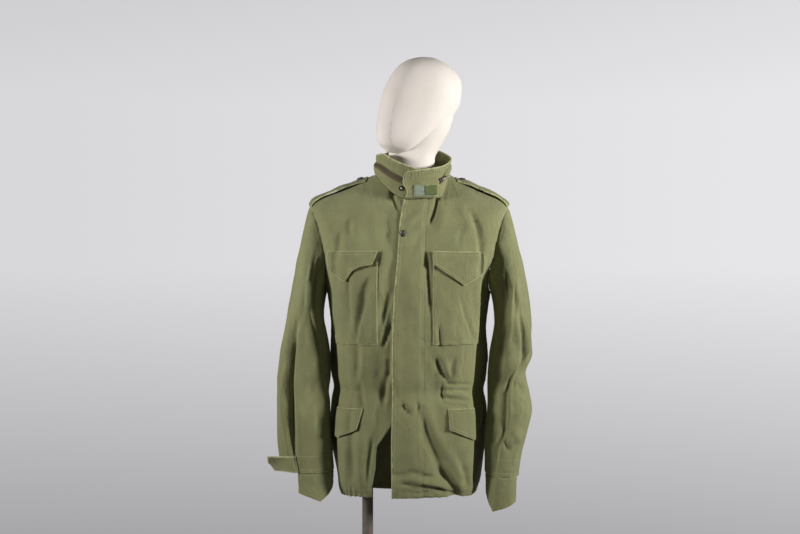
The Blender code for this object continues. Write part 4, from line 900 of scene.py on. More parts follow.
# %% The collar
# The collar goes round the neck from its under end, on the wearer's left of the centre front, by the wearer's
# right, the back and the wearer's left, to the end that laps over it. turn is in degrees from the front.
COLLAR_START, COLLAR_END = -13.0, 374.0
COLLAR_RIM = table(
    "turn half_width depth z bulge",
    [
        (-13, 0.088, 0.092, 1.534, 0.001),
        (8, 0.088, 0.092, 1.544, 0.003),
        (32, 0.088, 0.092, 1.560, 0.006),
        (60, 0.087, 0.088, 1.577, 0.008),
        (95, 0.086, 0.080, 1.577, 0.004),
        (180, 0.084, 0.070, 1.606, 0.006),
        (270, 0.085, 0.080, 1.570, 0.004),
        (315, 0.087, 0.090, 1.547, 0.002),
        (345, 0.088, 0.092, 1.538, 0.001),
        (374, 0.088, 0.092, 1.531, 0.000),
    ],
)
COLLAR_RIM_CENTRE = 0.012
# The end that laps over leaves the neck seam, and hangs squarely in front of it.
OVER_HALF_WIDTH, OVER_DEPTH, OVER_CORNER, OVER_Z = 0.090, 0.085, 2.8, 1.474
OVER_FROM, OVER_TO = 262.0, 315.0
OVER_DROP_FROM, OVER_DROP_TO = 298.0, 333.0
COLLAR_LAP = 0.0072  # how far that end stands off
COLLAR_LAP_ANGLE = 75.0  # and over what angle it gets there
COLLAR_ROLL_TOP = 2 / 3  # the share of its height below which it bulges
COLLAR_LIFT_WAY = np.array([1, 1, 0.3])  # the bulge and the lap move it outwards more than up
COLLAR_END_UP = [0, 0.15, 0.3, 0.45, 0.62, 0.84, 0.94, 1]
COLLAR_END_BACK = [0.0140, 0.0150, 0.0130, 0.0070, 0.0015, 0.0006, 0.0025, 0.0065]
COLLAR_END_REACH = 0.055  # and over what length this cutting back dies out
# Across is here the length from the lapping end, in metres, and height the share of the collar's height.
COLLAR_FOLDS = [
    (0.016, 0.30, 0.016, 0.90, 0, 0.005, -0.0010, 0),
    (0.030, 0.50, 0.050, 0.44, 0, 0.006, 0.0010, 0),
]
RIM_STITCHES_UP, SEAM_STITCHES_UP, RIM_SWELLS = 0.85, 0.08, 0.045
PUCKER_EVERY, PUCKER_HIGH, DENT_DEEP, RIM_THICK = 0.0056, 0.0011, 0.0013, 0.0013


def collar_lift(from_over_end, share_up):
    """The collar's own relief: puckers under its rim and above its seam, a few soft dents, and a thick rim."""
    stitched = band(share_up, RIM_STITCHES_UP, 0.09) + 0.36 * band(share_up, SEAM_STITCHES_UP, 0.06)
    uneven = 0.75 + 0.35 * np.sin(from_over_end * 190) * np.sin(from_over_end * 77 + 1)
    puckers = np.sin(2 * math.pi * from_over_end / PUCKER_EVERY + 1.4 * np.sin(from_over_end * 130))
    soft = np.sin(from_over_end * 47 + 3 * share_up) * np.sin(from_over_end * 19 + 2) * ease(share_up * 3)
    lift = PUCKER_HIGH * puckers * uneven * stitched + DENT_DEEP * soft
    lift += RIM_THICK * band(share_up, 1, RIM_SWELLS)
    return lift + fold_lift(COLLAR_FOLDS, from_over_end, share_up)


class Collar(Surface):
    """The stand collar: row 0 is the neck seam, column 0 the under end, the last column the lapping end."""

    ROWS, COLUMNS = 41, 241

    def __init__(self):
        turn = np.linspace(COLLAR_START, COLLAR_END, self.COLUMNS)
        sine, cosine = -np.sin(np.radians(turn)), np.cos(np.radians(turn))
        rim = smooth_columns(COLLAR_RIM, "turn", turn)
        rim_x = COLLAR_RIM_CENTRE + rim["half_width"] * sine
        top = np.stack([rim_x, -rim["depth"] * cosine, rim["z"]], axis=1)
        neck = {name: values[-1] for name, values in BODY_RINGS.items()}
        neck_x = neck["shift"] + neck["half_width"] * power(sine, neck["corner"])
        neck_y = -np.where(cosine > 0, neck["front"], neck["back"]) * power(cosine, neck["corner"])
        seam = np.stack([neck_x, neck_y, ring_height(neck, cosine) + SEAM_GAP], axis=1)
        over_x = neck["shift"] + OVER_HALF_WIDTH * power(sine, OVER_CORNER)
        over_y = -OVER_DEPTH * power(cosine, OVER_CORNER)
        over = np.stack([over_x, over_y, np.full(self.COLUMNS, OVER_Z)], axis=1)
        self.neck_line = seam + [GARMENT_X, 0, 0]
        leaves = ease((turn - OVER_FROM) / (OVER_TO - OVER_FROM))
        drops = ease((turn - OVER_DROP_FROM) / (OVER_DROP_TO - OVER_DROP_FROM))
        leaves = np.stack([leaves, leaves, drops], axis=1)
        foot = seam * (1 - leaves) + over * leaves
        up = np.linspace(0, 1, self.ROWS)[:, None, None]
        points = foot * (1 - up) + top * up + [GARMENT_X, 0, 0]
        super().__init__(points, outward=-1, closed=False)
        self.length = np.linalg.norm(np.diff(points[self.ROWS // 2], axis=0), axis=1).sum()
        lap = COLLAR_LAP * ease((COLLAR_LAP_ANGLE - (COLLAR_END - turn)) / COLLAR_LAP_ANGLE)
        roll = np.sin(math.pi * np.clip(up[..., 0] / COLLAR_ROLL_TOP, 0, 1)) ** 1.5
        lift = lap[None, :] + rim["bulge"][None, :] * roll
        super().__init__(points + self.normals * COLLAR_LIFT_WAY * lift[..., None], outward=-1, closed=False)

    def on(self, from_over_end, share_up, lift=0.0):
        """Points by the length from the lapping end, and the share of the height above the neck seam."""
        far, share_up = np.broadcast_arrays(np.asarray(from_over_end, float), np.asarray(share_up, float))
        row, column = share_up * (self.ROWS - 1), (1 - far / self.length) * (self.COLUMNS - 1)
        return self.at(row, column, lift + collar_lift(far, share_up))

    def drawn_in(self, from_over_end, share_up, lift):
        """The same, with the lapping end cut back towards its foot and rounded at its top."""
        back = np.interp(share_up, COLLAR_END_UP, COLLAR_END_BACK)
        return self.on(from_over_end + back * ease(1 - from_over_end / COLLAR_END_REACH), share_up, lift)


def frame_matrix(place, out, along):
    """A matrix whose Z points out and whose X points along."""
    z = Vector(out).normalized()
    x = Vector(along)
    x = (x - z * x.dot(z)).normalized()
    return Matrix.Translation(Vector(place)) @ Matrix((x, z.cross(x), z)).transposed().to_4x4()


collar = Collar()
print("collar:", rounded([collar.length]), "m round")

# %% [markdown]
# ## Cutting and making up the cloth
#
# Each piece of cloth is a grid of points with a back behind its front. Its grid lines are closer together
# beside the edges that are finished, where the cloth is rounded over, sinks along its rows of stitches and
# puckers between them. Every piece keeps its own lengths, in metres, as a UV map for the weave, and how
# far each point is from a sewn edge, for the wear.

# %% A sheet of cloth
NEAR_EDGE = np.array([0, 0.0007, 0.0016, 0.0028, 0.0045, 0.0064, 0.0082, 0.0112])
FIRST_ROW, SECOND_ROW, GROOVE, GROOVE_WIDTH = 0.0018, 0.0078, 0.00045, 0.0012
EDGE_ROUND, PUCKER_SCALE, PUCKER_DEPTH, PUCKER_REACH = 0.0018, 165, 0.0014, 0.008
FRONT_ROUNDED, BACK_ROUNDED, SEAM_SUNK = 0.36, 0.3, 0.2  # shares of the wall
SEAM_ROUND = 0.001
FAR_FROM_EDGE = 0.1
ALL_SIDES, THREE_SIDES = ["left", "right", "low", "high"], ["left", "right", "high"]
cut = {}


def lines(length, step, start=False, end=False):
    """Places from 0 to 1 for grid lines about a step apart on that length, closer beside a finished end."""
    low = NEAR_EDGE / length if start else np.zeros(1)
    high = 1 - NEAR_EDGE[::-1] / length if end else np.ones(1)
    count = max(3, round((high[0] - low[-1]) * length / step) + 1)
    return np.concatenate([low[:-1], np.linspace(low[-1], high[0], count), high[1:]])


def lengths_along(points, axis=0):
    """The length along a row or grid of points, from its start to each point."""
    steps = np.linalg.norm(np.diff(points, axis=axis), axis=-1)
    return np.insert(np.cumsum(steps, axis=axis), 0, 0, axis=axis)


def border_distances(points):
    """How far each grid point lies along the cloth from the first and last column and row."""
    left, low = lengths_along(points, 1), lengths_along(points, 0)
    return {"left": left, "right": left[:, -1:] - left, "low": low, "high": low[-1:] - low}


def pucker(points, distance):
    """The small unevenness of a sewn edge, strongest beside its stitches."""
    lift = np.zeros(distance.shape)
    for place in zip(*np.nonzero(distance < 2.5 * PUCKER_REACH)):
        lift[place] = noise.noise(points[place] * PUCKER_SCALE)
    return lift * PUCKER_DEPTH * np.exp(-((distance / PUCKER_REACH) ** 2))


def quad_areas(points):
    rising, falling = points[1:, 1:] - points[:-1, :-1], points[1:, :-1] - points[:-1, 1:]
    return np.linalg.norm(np.cross(rising, falling), axis=2) / 2


def closed_cloth(name, front, back, uv, edge):
    """A mesh from a grid of front points with a back behind them; a grid whose ends meet becomes a tube."""
    rows, columns = front.shape[:2]
    bm = bmesh.new()
    bmesh.ops.create_grid(bm, x_segments=columns - 1, y_segments=rows - 1, size=0.5)
    mesh = bpy.data.meshes.new(name)
    bm.to_mesh(mesh)
    places = np.empty(len(mesh.vertices) * 3)
    mesh.vertices.foreach_get("co", places)
    places = places.reshape(-1, 3)
    column = np.rint((places[:, 0] + 0.5) * (columns - 1)).astype(int)
    row = np.rint((places[:, 1] + 0.5) * (rows - 1)).astype(int)
    mesh.vertices.foreach_set("co", front[row, column].ravel())
    behind = mesh.attributes.new("back", "FLOAT_VECTOR", "POINT")
    behind.data.foreach_set("vector", back[row, column].ravel())
    mesh.attributes.new("edge", "FLOAT", "POINT").data.foreach_set("value", edge[row, column])
    corners = np.empty(len(mesh.loops), int)
    mesh.loops.foreach_get("vertex_index", corners)
    mesh.uv_layers.new(name="cloth").data.foreach_set("uv", uv[row, column][corners].ravel())
    bm.clear()
    bm.from_mesh(mesh)
    bmesh.ops.remove_doubles(bm, verts=bm.verts, dist=1e-6)
    outer = set(bm.verts)
    behind = bm.verts.layers.float_vector["back"]
    made = bmesh.ops.extrude_face_region(bm, geom=bm.verts[:] + bm.edges[:] + bm.faces[:], use_keep_orig=True)
    for vert in made["geom"]:
        if isinstance(vert, bmesh.types.BMVert) and vert not in outer:
            vert.co = vert[behind]
    bmesh.ops.recalc_face_normals(bm, faces=bm.faces)
    bm.to_mesh(mesh)
    bm.free()
    mesh.attributes.remove(mesh.attributes["back"])
    mesh.shade_smooth()
    return mesh


def piece(name, mesh, material, slot):
    """An object for a finished mesh, which stands for the node of the same name if there is one."""
    mesh.materials.append(material)
    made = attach(add_object(name + "_made", mesh), "jacket")
    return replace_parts(made, name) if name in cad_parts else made


def cloth(
    name, place, across, down, lift, wall, material, slot="shell_cloth", finished=(), seams=(), held="hung"
):
    """Cuts a sheet with grid lines across and down, and lays it where place says, lifted off its surface.
    finished gives the borders that are turned and stitched, and seams those that are only joined."""
    u, v = np.meshgrid(across, down)
    back = place(u, v, lift)
    front = place(u, v, lift + wall)
    outwards = (front - back) / wall
    far = border_distances(front)
    edge = np.minimum.reduce([far[side] for side in finished] + [np.full(u.shape, FAR_FROM_EDGE)])
    seam = np.minimum.reduce([far[side] for side in seams] + [np.full(u.shape, FAR_FROM_EDGE)])
    nearest = np.minimum(edge, seam)
    grooves = band(nearest, FIRST_ROW, GROOVE_WIDTH) + band(nearest, SECOND_ROW, GROOVE_WIDTH)
    rounding, sunk = 1 - ease(edge / EDGE_ROUND), 1 - ease(seam / SEAM_ROUND)
    rise = pucker(front, nearest) - GROOVE * grooves - wall * (FRONT_ROUNDED * rounding + SEAM_SUNK * sunk)
    front = front + outwards * rise[..., None]
    back = back + outwards * (wall * BACK_ROUNDED * rounding + np.minimum(rise, 0) / 2)[..., None]
    uv = np.stack([far["left"] - far["left"][:, -1:] / 2, far["low"]], axis=2)
    mesh = closed_cloth(name, front, back, uv, edge)
    made = piece(name, mesh, material, slot)
    width, length = far["left"][:, -1].max(), far["low"][-1].max()
    min(quad_areas(front).sum(), width * length)
    cut[name] = {"front": front, "far": far}
    print(name, len(mesh.polygons), "faces, cut", rounded((width, length)), "m")


# %% [markdown]
# ## Fronts, back and sleeves
#
# The panels meet edge to edge at the side, shoulder and armhole seams. The wearer's right front falls away
# under the storm flap towards the hem, and so the jacket is open there. Below the hem's stitching the
# cloth is a little fuller than its thread, which draws it up into short gathers.

# %% The body's panels
PANEL_STEP, BACK_STEP = 0.0036, 0.0052
# Where the wearer's right front ends under the storm flap, from the centre front, at each height.
RIGHT_FRONT_EDGE = table(
    "z edge",
    [
        (0.804, -0.073),
        (0.830, -0.075),
        (0.850, -0.072),
        (0.880, -0.067),
        (0.905, -0.066),
        (0.925, -0.064),
        (0.942, -0.052),
        (0.965, -0.036),
        (1.000, -0.018),
        (1.050, -0.006),
        (1.470, -0.004),
    ],
)
FRONT_WIDE, HALF_BACK_WIDE = 0.19, 0.24
BELOW_ARMHOLE, BESIDE_ARMHOLE, ABOVE_ARMHOLE = 0.45, 0.2232, 0.15  # the body's lengths there


def panel_levels(step):
    """Levels from hem to neck, with closer ones at the hem and at both ends of the armhole."""
    below = lines(BELOW_ARMHOLE, step, start=True)
    steps = round(BESIDE_ARMHOLE / step)
    beside = 1.5 - 0.5 * np.cos(math.pi * np.arange(1, steps) / steps)
    above = 2 + lines(ABOVE_ARMHOLE, step, end=True)
    return np.concatenate([below, beside, above])


def armhole_bite(level, depth):
    t = np.clip(level - 1, 0, 1)
    return depth * (2 * np.sqrt(t * (1 - t))) ** ARMHOLE_CORNER


def outer_edge(level, side, depth, inwards):
    """Where a panel ends at the side seam, the armhole or the shoulder seam; inwards is -1 for a front."""
    return body.side_line(level, side) + side * inwards * (armhole_bite(level, depth) + SEAM_GAP / 2)


HEM_HEIGHT, GATHER_EVERY, GATHER_DEPTH = 0.020, 0.0145, 0.0016
GATHER_REACH, GATHER_REACH_VARIES = 0.075, 0.045  # how many levels up the gathers go
GATHERS_FROM, GATHERS_GROW = 0.045, 0.03  # beside the centre front


def hem_gathers(across, level):
    """Short upright gathers at the hem, uneven in length and depth, and none where the storm flap lies."""
    uneven = np.sin(across * 23 + 1) * np.sin(across * 57)
    reach = GATHER_REACH + GATHER_REACH_VARIES * uneven
    waves = np.sin(2 * math.pi * across / GATHER_EVERY + 2.2 * np.sin(across * 41))
    clear = ease((np.abs(across) - GATHERS_FROM) / GATHERS_GROW)
    return GATHER_DEPTH * (0.7 + 0.6 * uneven) * waves * ease(1 - level / reach) * clear


def front_panel(name, side):
    def place(u, level, lift):
        if side > 0:
            inner = np.full(np.shape(level), SEAM_GAP)
        else:
            edge = smooth_columns(RIGHT_FRONT_EDGE, "z", body.front_height(level).ravel())["edge"]
            inner = edge.reshape(np.shape(level))
        across = inner + u * (outer_edge(level, side, ARMHOLE_FRONT, -1) - inner)
        return body.on(across, level, lift + hem_gathers(across, level))

    across = lines(FRONT_WIDE, PANEL_STEP, start=True, end=True)
    levels = panel_levels(PANEL_STEP)
    cloth(name, place, across, levels, -WALL, WALL, panel_cloth, finished=["left", "low"], seams=["right"])


for name, side in SIDES.items():
    front_panel(f"front_{name}", side)


def back_place(u, level, lift):
    side = np.where(u < 0, -1, 1)
    middle = body.centre_back(level, side)
    across = middle + np.abs(u) * (outer_edge(level, side, ARMHOLE_BACK, 1) - middle)
    return body.on(across, level, lift + hem_gathers(across, level))


half_back = lines(HALF_BACK_WIDE, BACK_STEP, end=True)
back_across, back_levels = np.concatenate([-half_back[:0:-1], half_back]), panel_levels(BACK_STEP)
joined = ["left", "right"]
cloth("back", back_place, back_across, back_levels, -WALL, WALL, panel_cloth, finished=["low"], seams=joined)

# %% The sleeves
SLEEVE_STEP, SLEEVE_ROUND = 0.0042, 0.46  # the second is how long the cloth is round a sleeve


def sleeve_tube(name):
    sleeve = sleeves[name]
    angles = np.linspace(0, 360, round(SLEEVE_ROUND / SLEEVE_STEP) + 1)
    down = sleeve.cuff * lines(sleeve.length * sleeve.cuff, SLEEVE_STEP, start=True, end=True)

    def place(angle, share, lift):
        return sleeve.on(share, angle, lift)

    cloth(f"sleeve_{name}", place, angles, down, -WALL, WALL, panel_cloth, finished=["high"], seams=["low"])


for name in SIDES:
    sleeve_tube(name)

# %% [markdown]
# ## The collar
#
# The collar is thick, for a hood is rolled up in it. Its rim and its lapping end are turned and stitched
# twice.

# %% Collar
COLLAR_STEP, COLLAR_HIGH = 0.0026, 0.075


def collar_cloth():
    across = collar.length * lines(collar.length, COLLAR_STEP / 2, start=True, end=True)[::-1]
    up = lines(COLLAR_HIGH, COLLAR_STEP, start=True, end=True)
    borders = {"finished": ["right", "high"], "seams": ["low"]}
    cloth("collar", collar.drawn_in, across, up, -COLLAR_WALL, COLLAR_WALL, edge_cloth, **borders)


collar_cloth()

NECK_TURNING_FROM, NECK_TURNING_TO = 268.0, 324.0  # degrees from the front
NECK_TURNING_LENGTH, NECK_TURNING_HEIGHT, NECK_TURNING_UNDER = 0.085, 0.020, 0.004


def neck_turning():
    """The collar's foot turned back to the neck seam, where its lapping end stands off from it."""
    turned = np.array([NECK_TURNING_FROM, NECK_TURNING_TO])
    first, last = (turned - COLLAR_START) / (COLLAR_END - COLLAR_START) * (collar.COLUMNS - 1)
    columns = np.arange(collar.COLUMNS)

    def place(u, v, lift):
        column = first + u * (last - first)
        seam = np.stack([np.interp(column, columns, line) for line in collar.neck_line.T], axis=2)
        foot = collar.at(np.zeros(column.shape), column, -COLLAR_WALL / 2)
        points = seam - [0, 0, NECK_TURNING_UNDER]
        points = points + (foot - points) * v[..., None]
        out = np.cross(np.gradient(points, axis=1), np.gradient(points, axis=0))
        out /= np.linalg.norm(out, axis=2, keepdims=True)
        away = (out * (points - [GARMENT_X, 0, 0]))[..., :2].sum(axis=2, keepdims=True)
        return points + out * np.sign(away) * lift

    across = lines(NECK_TURNING_LENGTH, COLLAR_STEP, start=True, end=True)
    up = lines(NECK_TURNING_HEIGHT, COLLAR_STEP, start=True, end=True)
    cloth("neck_turning", place, across, up, -WALL, WALL, edge_cloth, seams=["low", "high"])


neck_turning()

# %% [markdown]
# ## Storm flap, pockets and flaps
#
# What is sewn on takes the same folds as the panel below it. The storm flap is stitched down twice along
# one side and lies free along the other, over hidden snaps that press through as round bumps.

# %% Storm flap
# Its free edge and its stitched edge, from the centre front, at each height.
STORM_FLAP = table(
    "z edge stitched",
    [
        (0.804, -0.030, 0.040),
        (0.920, -0.031, 0.040),
        (1.030, -0.029, 0.040),
        (1.140, -0.029, 0.040),
        (1.250, -0.025, 0.0405),
        (1.340, -0.0175, 0.0425),
        (1.400, -0.0140, 0.0445),
        (1.462, -0.0095, 0.046),
    ],
)
STORM_FLAP_TOP = 2.95  # a level
STORM_FLAP_WIDE, STORM_FLAP_LONG, PATCH_STEP = 0.065, 0.66, 0.0034
STORM_FLAP_LOOSE, STORM_FLAP_LAID = 0.0022, 0.0002  # how high its free edge stands, and its stitched edge
HIDDEN_SNAPS = ((-0.002, 1.322), (-0.014, 1.213), (-0.017, 1.112), (-0.018, 1.082), (-0.006, 0.905))
BUMP_HEIGHT, BUMP_RADIUS = 0.0009, 0.0050


def storm_place(u, level, lift):
    height = body.front_height(level)
    row = smooth_columns(STORM_FLAP, "z", height.ravel())
    edge, stitched = row["edge"].reshape(height.shape), row["stitched"].reshape(height.shape)
    across = edge + u * (stitched - edge)
    bumps = np.zeros(height.shape)
    for x, z in HIDDEN_SNAPS:
        bumps += BUMP_HEIGHT * ease(1.6 - np.hypot(across - x, height - z) / BUMP_RADIUS)
    loose = STORM_FLAP_LOOSE * (1 - u) ** 2 * (0.5 + 0.5 * np.sin(height * 37 + 0.6) * np.sin(height * 13))
    laid = ease((u - 1) * 5.5 + 1)
    pressed = STORM_FLAP_LAID + 0.12 * (lift - LAYER_GAP)
    return body.on(across, level, (lift + bumps + loose) * (1 - laid) + pressed * laid)


storm_levels = lines(STORM_FLAP_LONG, PATCH_STEP, start=True, end=True) * STORM_FLAP_TOP
storm_across = lines(STORM_FLAP_WIDE, PATCH_STEP, start=True, end=True)
borders = {"finished": ["left", "low"], "seams": ["right"]}
cloth("storm_flap", storm_place, storm_across, storm_levels, LAYER_GAP, DOUBLE_WALL, edge_cloth, **borders)

# %% Pockets and pocket flaps
# Patch pockets and flaps on the front. across is from the centre front, on either side of it.
CHEST_POCKET_IN, CHEST_POCKET_OUT = 0.060, 0.178
CHEST_POCKET_BOTTOM, CHEST_POCKET_TOP = 1.150, 1.330
POCKET_STAND = 0.0022  # how far a bellows pocket's front stands off the panel
POCKET_MARGIN, FLAP_MARGIN = 0.004, 0.003  # between a pocket or its flap and the armhole seam
ARMHOLE_CROWDING = 0.002  # keeps the columns of a held-in edge apart
# Each flap: its inner and outer end, its top, and how much lower its outer end is sewn on.
CHEST_FLAP = (0.059, 0.179, 1.353, 0.008)
CHEST_FLAP_LIFT = LAYER_GAP + POCKET_STAND + WALL + LAYER_GAP
LOWER_FLAP = (0.095, 0.225, 1.008, 0.002)
FLAP_POINT = 0.071  # how far a flap hangs at its point
FLAP_FILLED = 0.0012  # how far a flap stands off below its seam


def held_inside(across, level, side, margin, u):
    """Moves a pocket's or flap's outer stretch in, so that it stays clear of the armhole seam."""
    reach = np.abs(outer_edge(level, side, ARMHOLE_FRONT, -1)) - margin - ARMHOLE_CROWDING * (1 - u)
    return np.minimum(across, reach)


def chest_pocket(name, side):
    def place(u, height, lift):
        level = body.level_at(height)
        across = CHEST_POCKET_IN + u * (CHEST_POCKET_OUT - CHEST_POCKET_IN)
        across = held_inside(across, level, side, POCKET_MARGIN, u)
        stand = POCKET_STAND * np.maximum(4 * u * (1 - u), 0) ** 0.4
        return body.on(side * across, level, lift + stand)

    across = lines(CHEST_POCKET_OUT - CHEST_POCKET_IN, PATCH_STEP, start=True, end=True)
    up = lines(CHEST_POCKET_TOP - CHEST_POCKET_BOTTOM, PATCH_STEP, start=True)
    heights = CHEST_POCKET_BOTTOM + up * (CHEST_POCKET_TOP - CHEST_POCKET_BOTTOM)
    laid = {"finished": ["left", "right", "low"], "held": "laid"}
    cloth(f"chest_pocket_{name}", place, across, heights, LAYER_GAP, WALL, pocket_cloth, **laid)


def flap(name, side, outline, lift, curl, lower_edge, slant=0.0):
    """A pocket flap. curl gives how far its inner and outer halves stand off, lower_edge how far it hangs at
    shares of its width, and slant how far its inner corner has drawn in."""
    inner, outer, top, sag = outline

    def place(u, share, rise):
        level = body.level_at(top - sag * u - share * np.interp(u, *lower_edge))
        across = inner + u * (outer - inner) + slant * share * (1 - u) ** 2
        across = held_inside(across, level, side, FLAP_MARGIN, u)
        curled = curl[0] * ease(1.6 - 2.4 * u) + curl[1] * ease(2.4 * u - 0.8)
        off = share**2 * curled + FLAP_FILLED * ease(share * 3)
        return body.on(side * across, level, rise + off)

    across = lines(outer - inner, PATCH_STEP, start=True, end=True)
    down = lines(FLAP_POINT, PATCH_STEP, start=True, end=True)
    cloth(name, place, across, down, lift, DOUBLE_WALL, pocket_cloth, finished=ALL_SIDES, held="laid")


for name, side in SIDES.items():
    chest_pocket(name, side)
for word, side, curl, lower_edge, slant in (
    ("left", 1, (0.0014, 0.0010), ([0, 0.58, 1], [0.028, 0.070, 0.041]), 0.0),
    ("right", -1, (0.0060, 0.0016), ([0, 0.28, 0.44, 0.60, 1], [0.030, 0.034, 0.041, 0.062, 0.036]), 0.012),
):
    flap(f"chest_flap_{word}", side, CHEST_FLAP, CHEST_FLAP_LIFT, curl, lower_edge, slant)
for word, side, curl, point, slant in (
    ("left", 1, (0.0020, 0.0014), 0.070, 0.002),
    ("right", -1, (0.0044, 0.0018), 0.066, 0.012),
):
    lower_edge = [0, 0.5, 1], [0.046, point, 0.046]
    flap(f"lower_flap_{word}", side, LOWER_FLAP, LAYER_GAP, curl, lower_edge, slant)

# %% [markdown]
# ## Shoulder straps and cuffs
#
# A strap is sewn into the armhole seam and buttons down beside the collar. Each cuff has a strap of its
# own, and a pointed guard for the back of the hand, which is sewn inside the cuff and carries the line of
# the sleeve on.

# %% Shoulder straps
EPAULETTE_START, EPAULETTE_END = 2.03, 2.90
EPAULETTE_POINT = 0.09  # the share of its length that its point takes
EPAULETTE_WIDE, EPAULETTE_NARROW = 0.050, 0.040
EPAULETTE_FORWARD = 0.012  # its middle lies this far in front of the shoulder seam
EPAULETTE_LONG = 0.15
EPAULETTE_STAND, EPAULETTE_BOW = 0.0050, 0.0012
EPAULETTE_BUTTON_SHARE = 0.86
BUTTON_RADIUS, BUTTON_THICKNESS = 0.0075, 0.0025


def epaulette_point(side, u, share, lift):
    width = EPAULETTE_WIDE + (EPAULETTE_NARROW - EPAULETTE_WIDE) * share
    run = share * (1 - EPAULETTE_POINT * np.abs(u))
    level = EPAULETTE_START + run * (EPAULETTE_END - EPAULETTE_START)
    across = body.side_line(level, side) - side * (EPAULETTE_FORWARD - u * width / 2)
    stand = LAYER_GAP + EPAULETTE_STAND * np.sin(math.pi * np.minimum(share / 0.9, 1)) ** 0.7
    bowed = EPAULETTE_BOW * np.sin(share * 17 + side) * (1 - u * u)
    return body.on(across, level, lift + stand + bowed)


def epaulette(name, side):
    def place(u, share, lift):
        return epaulette_point(side, u, share, lift)

    across = 2 * lines(EPAULETTE_WIDE, PATCH_STEP, start=True, end=True) - 1
    along = lines(EPAULETTE_LONG, PATCH_STEP, start=True, end=True)
    borders = {"finished": THREE_SIDES, "seams": ["low"]}
    cloth(f"epaulette_{name}", place, across, along, 0.0, DOUBLE_WALL, edge_cloth, **borders)


for name, side in SIDES.items():
    epaulette(name, side)

# %% Hand guards
CUFF_STEP = 0.0032
GUARD_INSIDE = 0.015  # sewn in over this length
GUARD_LIFT = -2 * WALL - 1.6 * LAYER_GAP  # inside the sleeve's wall
GUARD_LIFT_BELOW = -1.4 * WALL  # and below it
# How far each hand guard hangs out of its cuff, at its outer end, its point and its inner end.
GUARDS = {
    "left": table("angle drop", [(32, 0.054), (129, 0.080), (178, 0.044)]),
    "right": table("angle drop", [(72, 0.044), (120, 0.064), (178, 0.034)]),
}
GUARD_OUT = 0.0035  # below the cuff, the length over which a guard comes out level with the sleeve
CUFF_RADIUS = 0.056  # the sleeve's mean radius at the cuff


def cuff_guard(name, outline):
    sleeve = sleeves[name]

    def place(angle, share, lift):
        drop = np.interp(angle, outline["angle"], outline["drop"])
        below = share * (drop + GUARD_INSIDE) - GUARD_INSIDE
        out = GUARD_LIFT + (GUARD_LIFT_BELOW - GUARD_LIFT) * ease(below / GUARD_OUT)
        return sleeve.on(sleeve.cuff + below / sleeve.length, angle, lift + out)

    first, point, last = outline["angle"]
    share = lines(math.radians(last - first) * CUFF_RADIUS, CUFF_STEP, start=True, end=True)
    middle = (point - first) / (last - first)  # a grid line runs down to the point itself
    angles = np.unique(np.append(share[np.abs(share - middle) > 0.01], middle)) * (last - first) + first
    down = lines(max(outline["drop"]) + GUARD_INSIDE, CUFF_STEP, end=True)
    cloth(f"cuff_guard_{name}", place, angles, down, 0.0, WALL, panel_cloth, finished=THREE_SIDES)


for name, outline in GUARDS.items():
    cuff_guard(name, outline)

# %% Cuff straps
TAB_LENGTH, TAB_WIDTH, TAB_POINT = 0.074, 0.036, 0.009
TAB_FREE = 0.052  # the end of the right cuff's tab that stands free
TAB_START = {"left": 330, "right": 75}  # the angle round the sleeve where each is sewn on
TAB_HIGH = 0.001  # its lower edge above the cuff's
TAB_LEADS = 0.006  # the length before its free end that gives the direction of it


def cuff_tab(name, stuck):
    """A cuff's strap. stuck is the length of it that lies on the sleeve; the rest goes straight on."""
    sleeve, start = sleeves[name], TAB_START[name]
    middle = sleeve.cuff - (TAB_WIDTH / 2 + TAB_HIGH) / sleeve.length

    def round_sleeve(length, down, lift):
        return sleeve.on(down, (start - np.degrees(length / CUFF_RADIUS)) % 360, lift)

    def place(u, share, lift):
        length = TAB_LENGTH * share - TAB_POINT * np.abs(u) * share
        down = middle + u * TAB_WIDTH / 2 / sleeve.length
        leaving = round_sleeve(np.minimum(length, stuck), down, lift)
        end = round_sleeve(np.full(length.shape, stuck), down, lift)
        step = end - round_sleeve(np.full(length.shape, stuck - TAB_LEADS), down, lift)
        step /= np.linalg.norm(step, axis=2, keepdims=True)
        return leaving + step * np.maximum(length - stuck, 0)[..., None]

    across = 2 * lines(TAB_WIDTH, CUFF_STEP, start=True, end=True) - 1
    along = lines(TAB_LENGTH, CUFF_STEP, start=True, end=True)
    laid = {"finished": THREE_SIDES, "held": "laid"}
    cloth(f"cuff_tab_{name}", place, across, along, LAYER_GAP, DOUBLE_WALL, edge_cloth, **laid)


cuff_tab("left", TAB_LENGTH)
cuff_tab("right", TAB_LENGTH - TAB_FREE)

# %% [markdown]
# ## On the collar
#
# A zip runs round the outside of the collar, closing the pocket that holds the hood. Below it, near the
# lapping end, is a patch of hook tape with a small tab of loop tape folded over part of it.

# %% Finishes of the tapes


TAPE_THREADS = 900  # to a metre


def plain_cloth(name, colour, other, bump, scale, roughness=0.9):
    """A woven or fuzzy tape: two colours mixed by noise, and a fine bump."""
    material, tree, shader = new_material(name, roughness, {"Specular IOR Level": 0.2})
    blotches = mottle(tree, add(tree, "TexCoord").outputs["Object"], scale, 4.0)
    colour = mix_colour(tree, between(tree, blotches, 0.35, 0.65), colour, other)
    tree.links.new(colour, shader.inputs["Base Color"])
    given = {"Cloth": add(tree, "UVMap", uv_map="cloth").outputs["UV"], "Threads per metre": TAPE_THREADS}
    threads = add(tree, "Group", given, node_tree=weave).outputs["Height"]
    height = math_node(tree, "MULTIPLY", threads, bump)
    bumped(tree, shader, math_node(tree, "ADD", height, math_node(tree, "MULTIPLY", blotches, 3 * bump)))
    return material


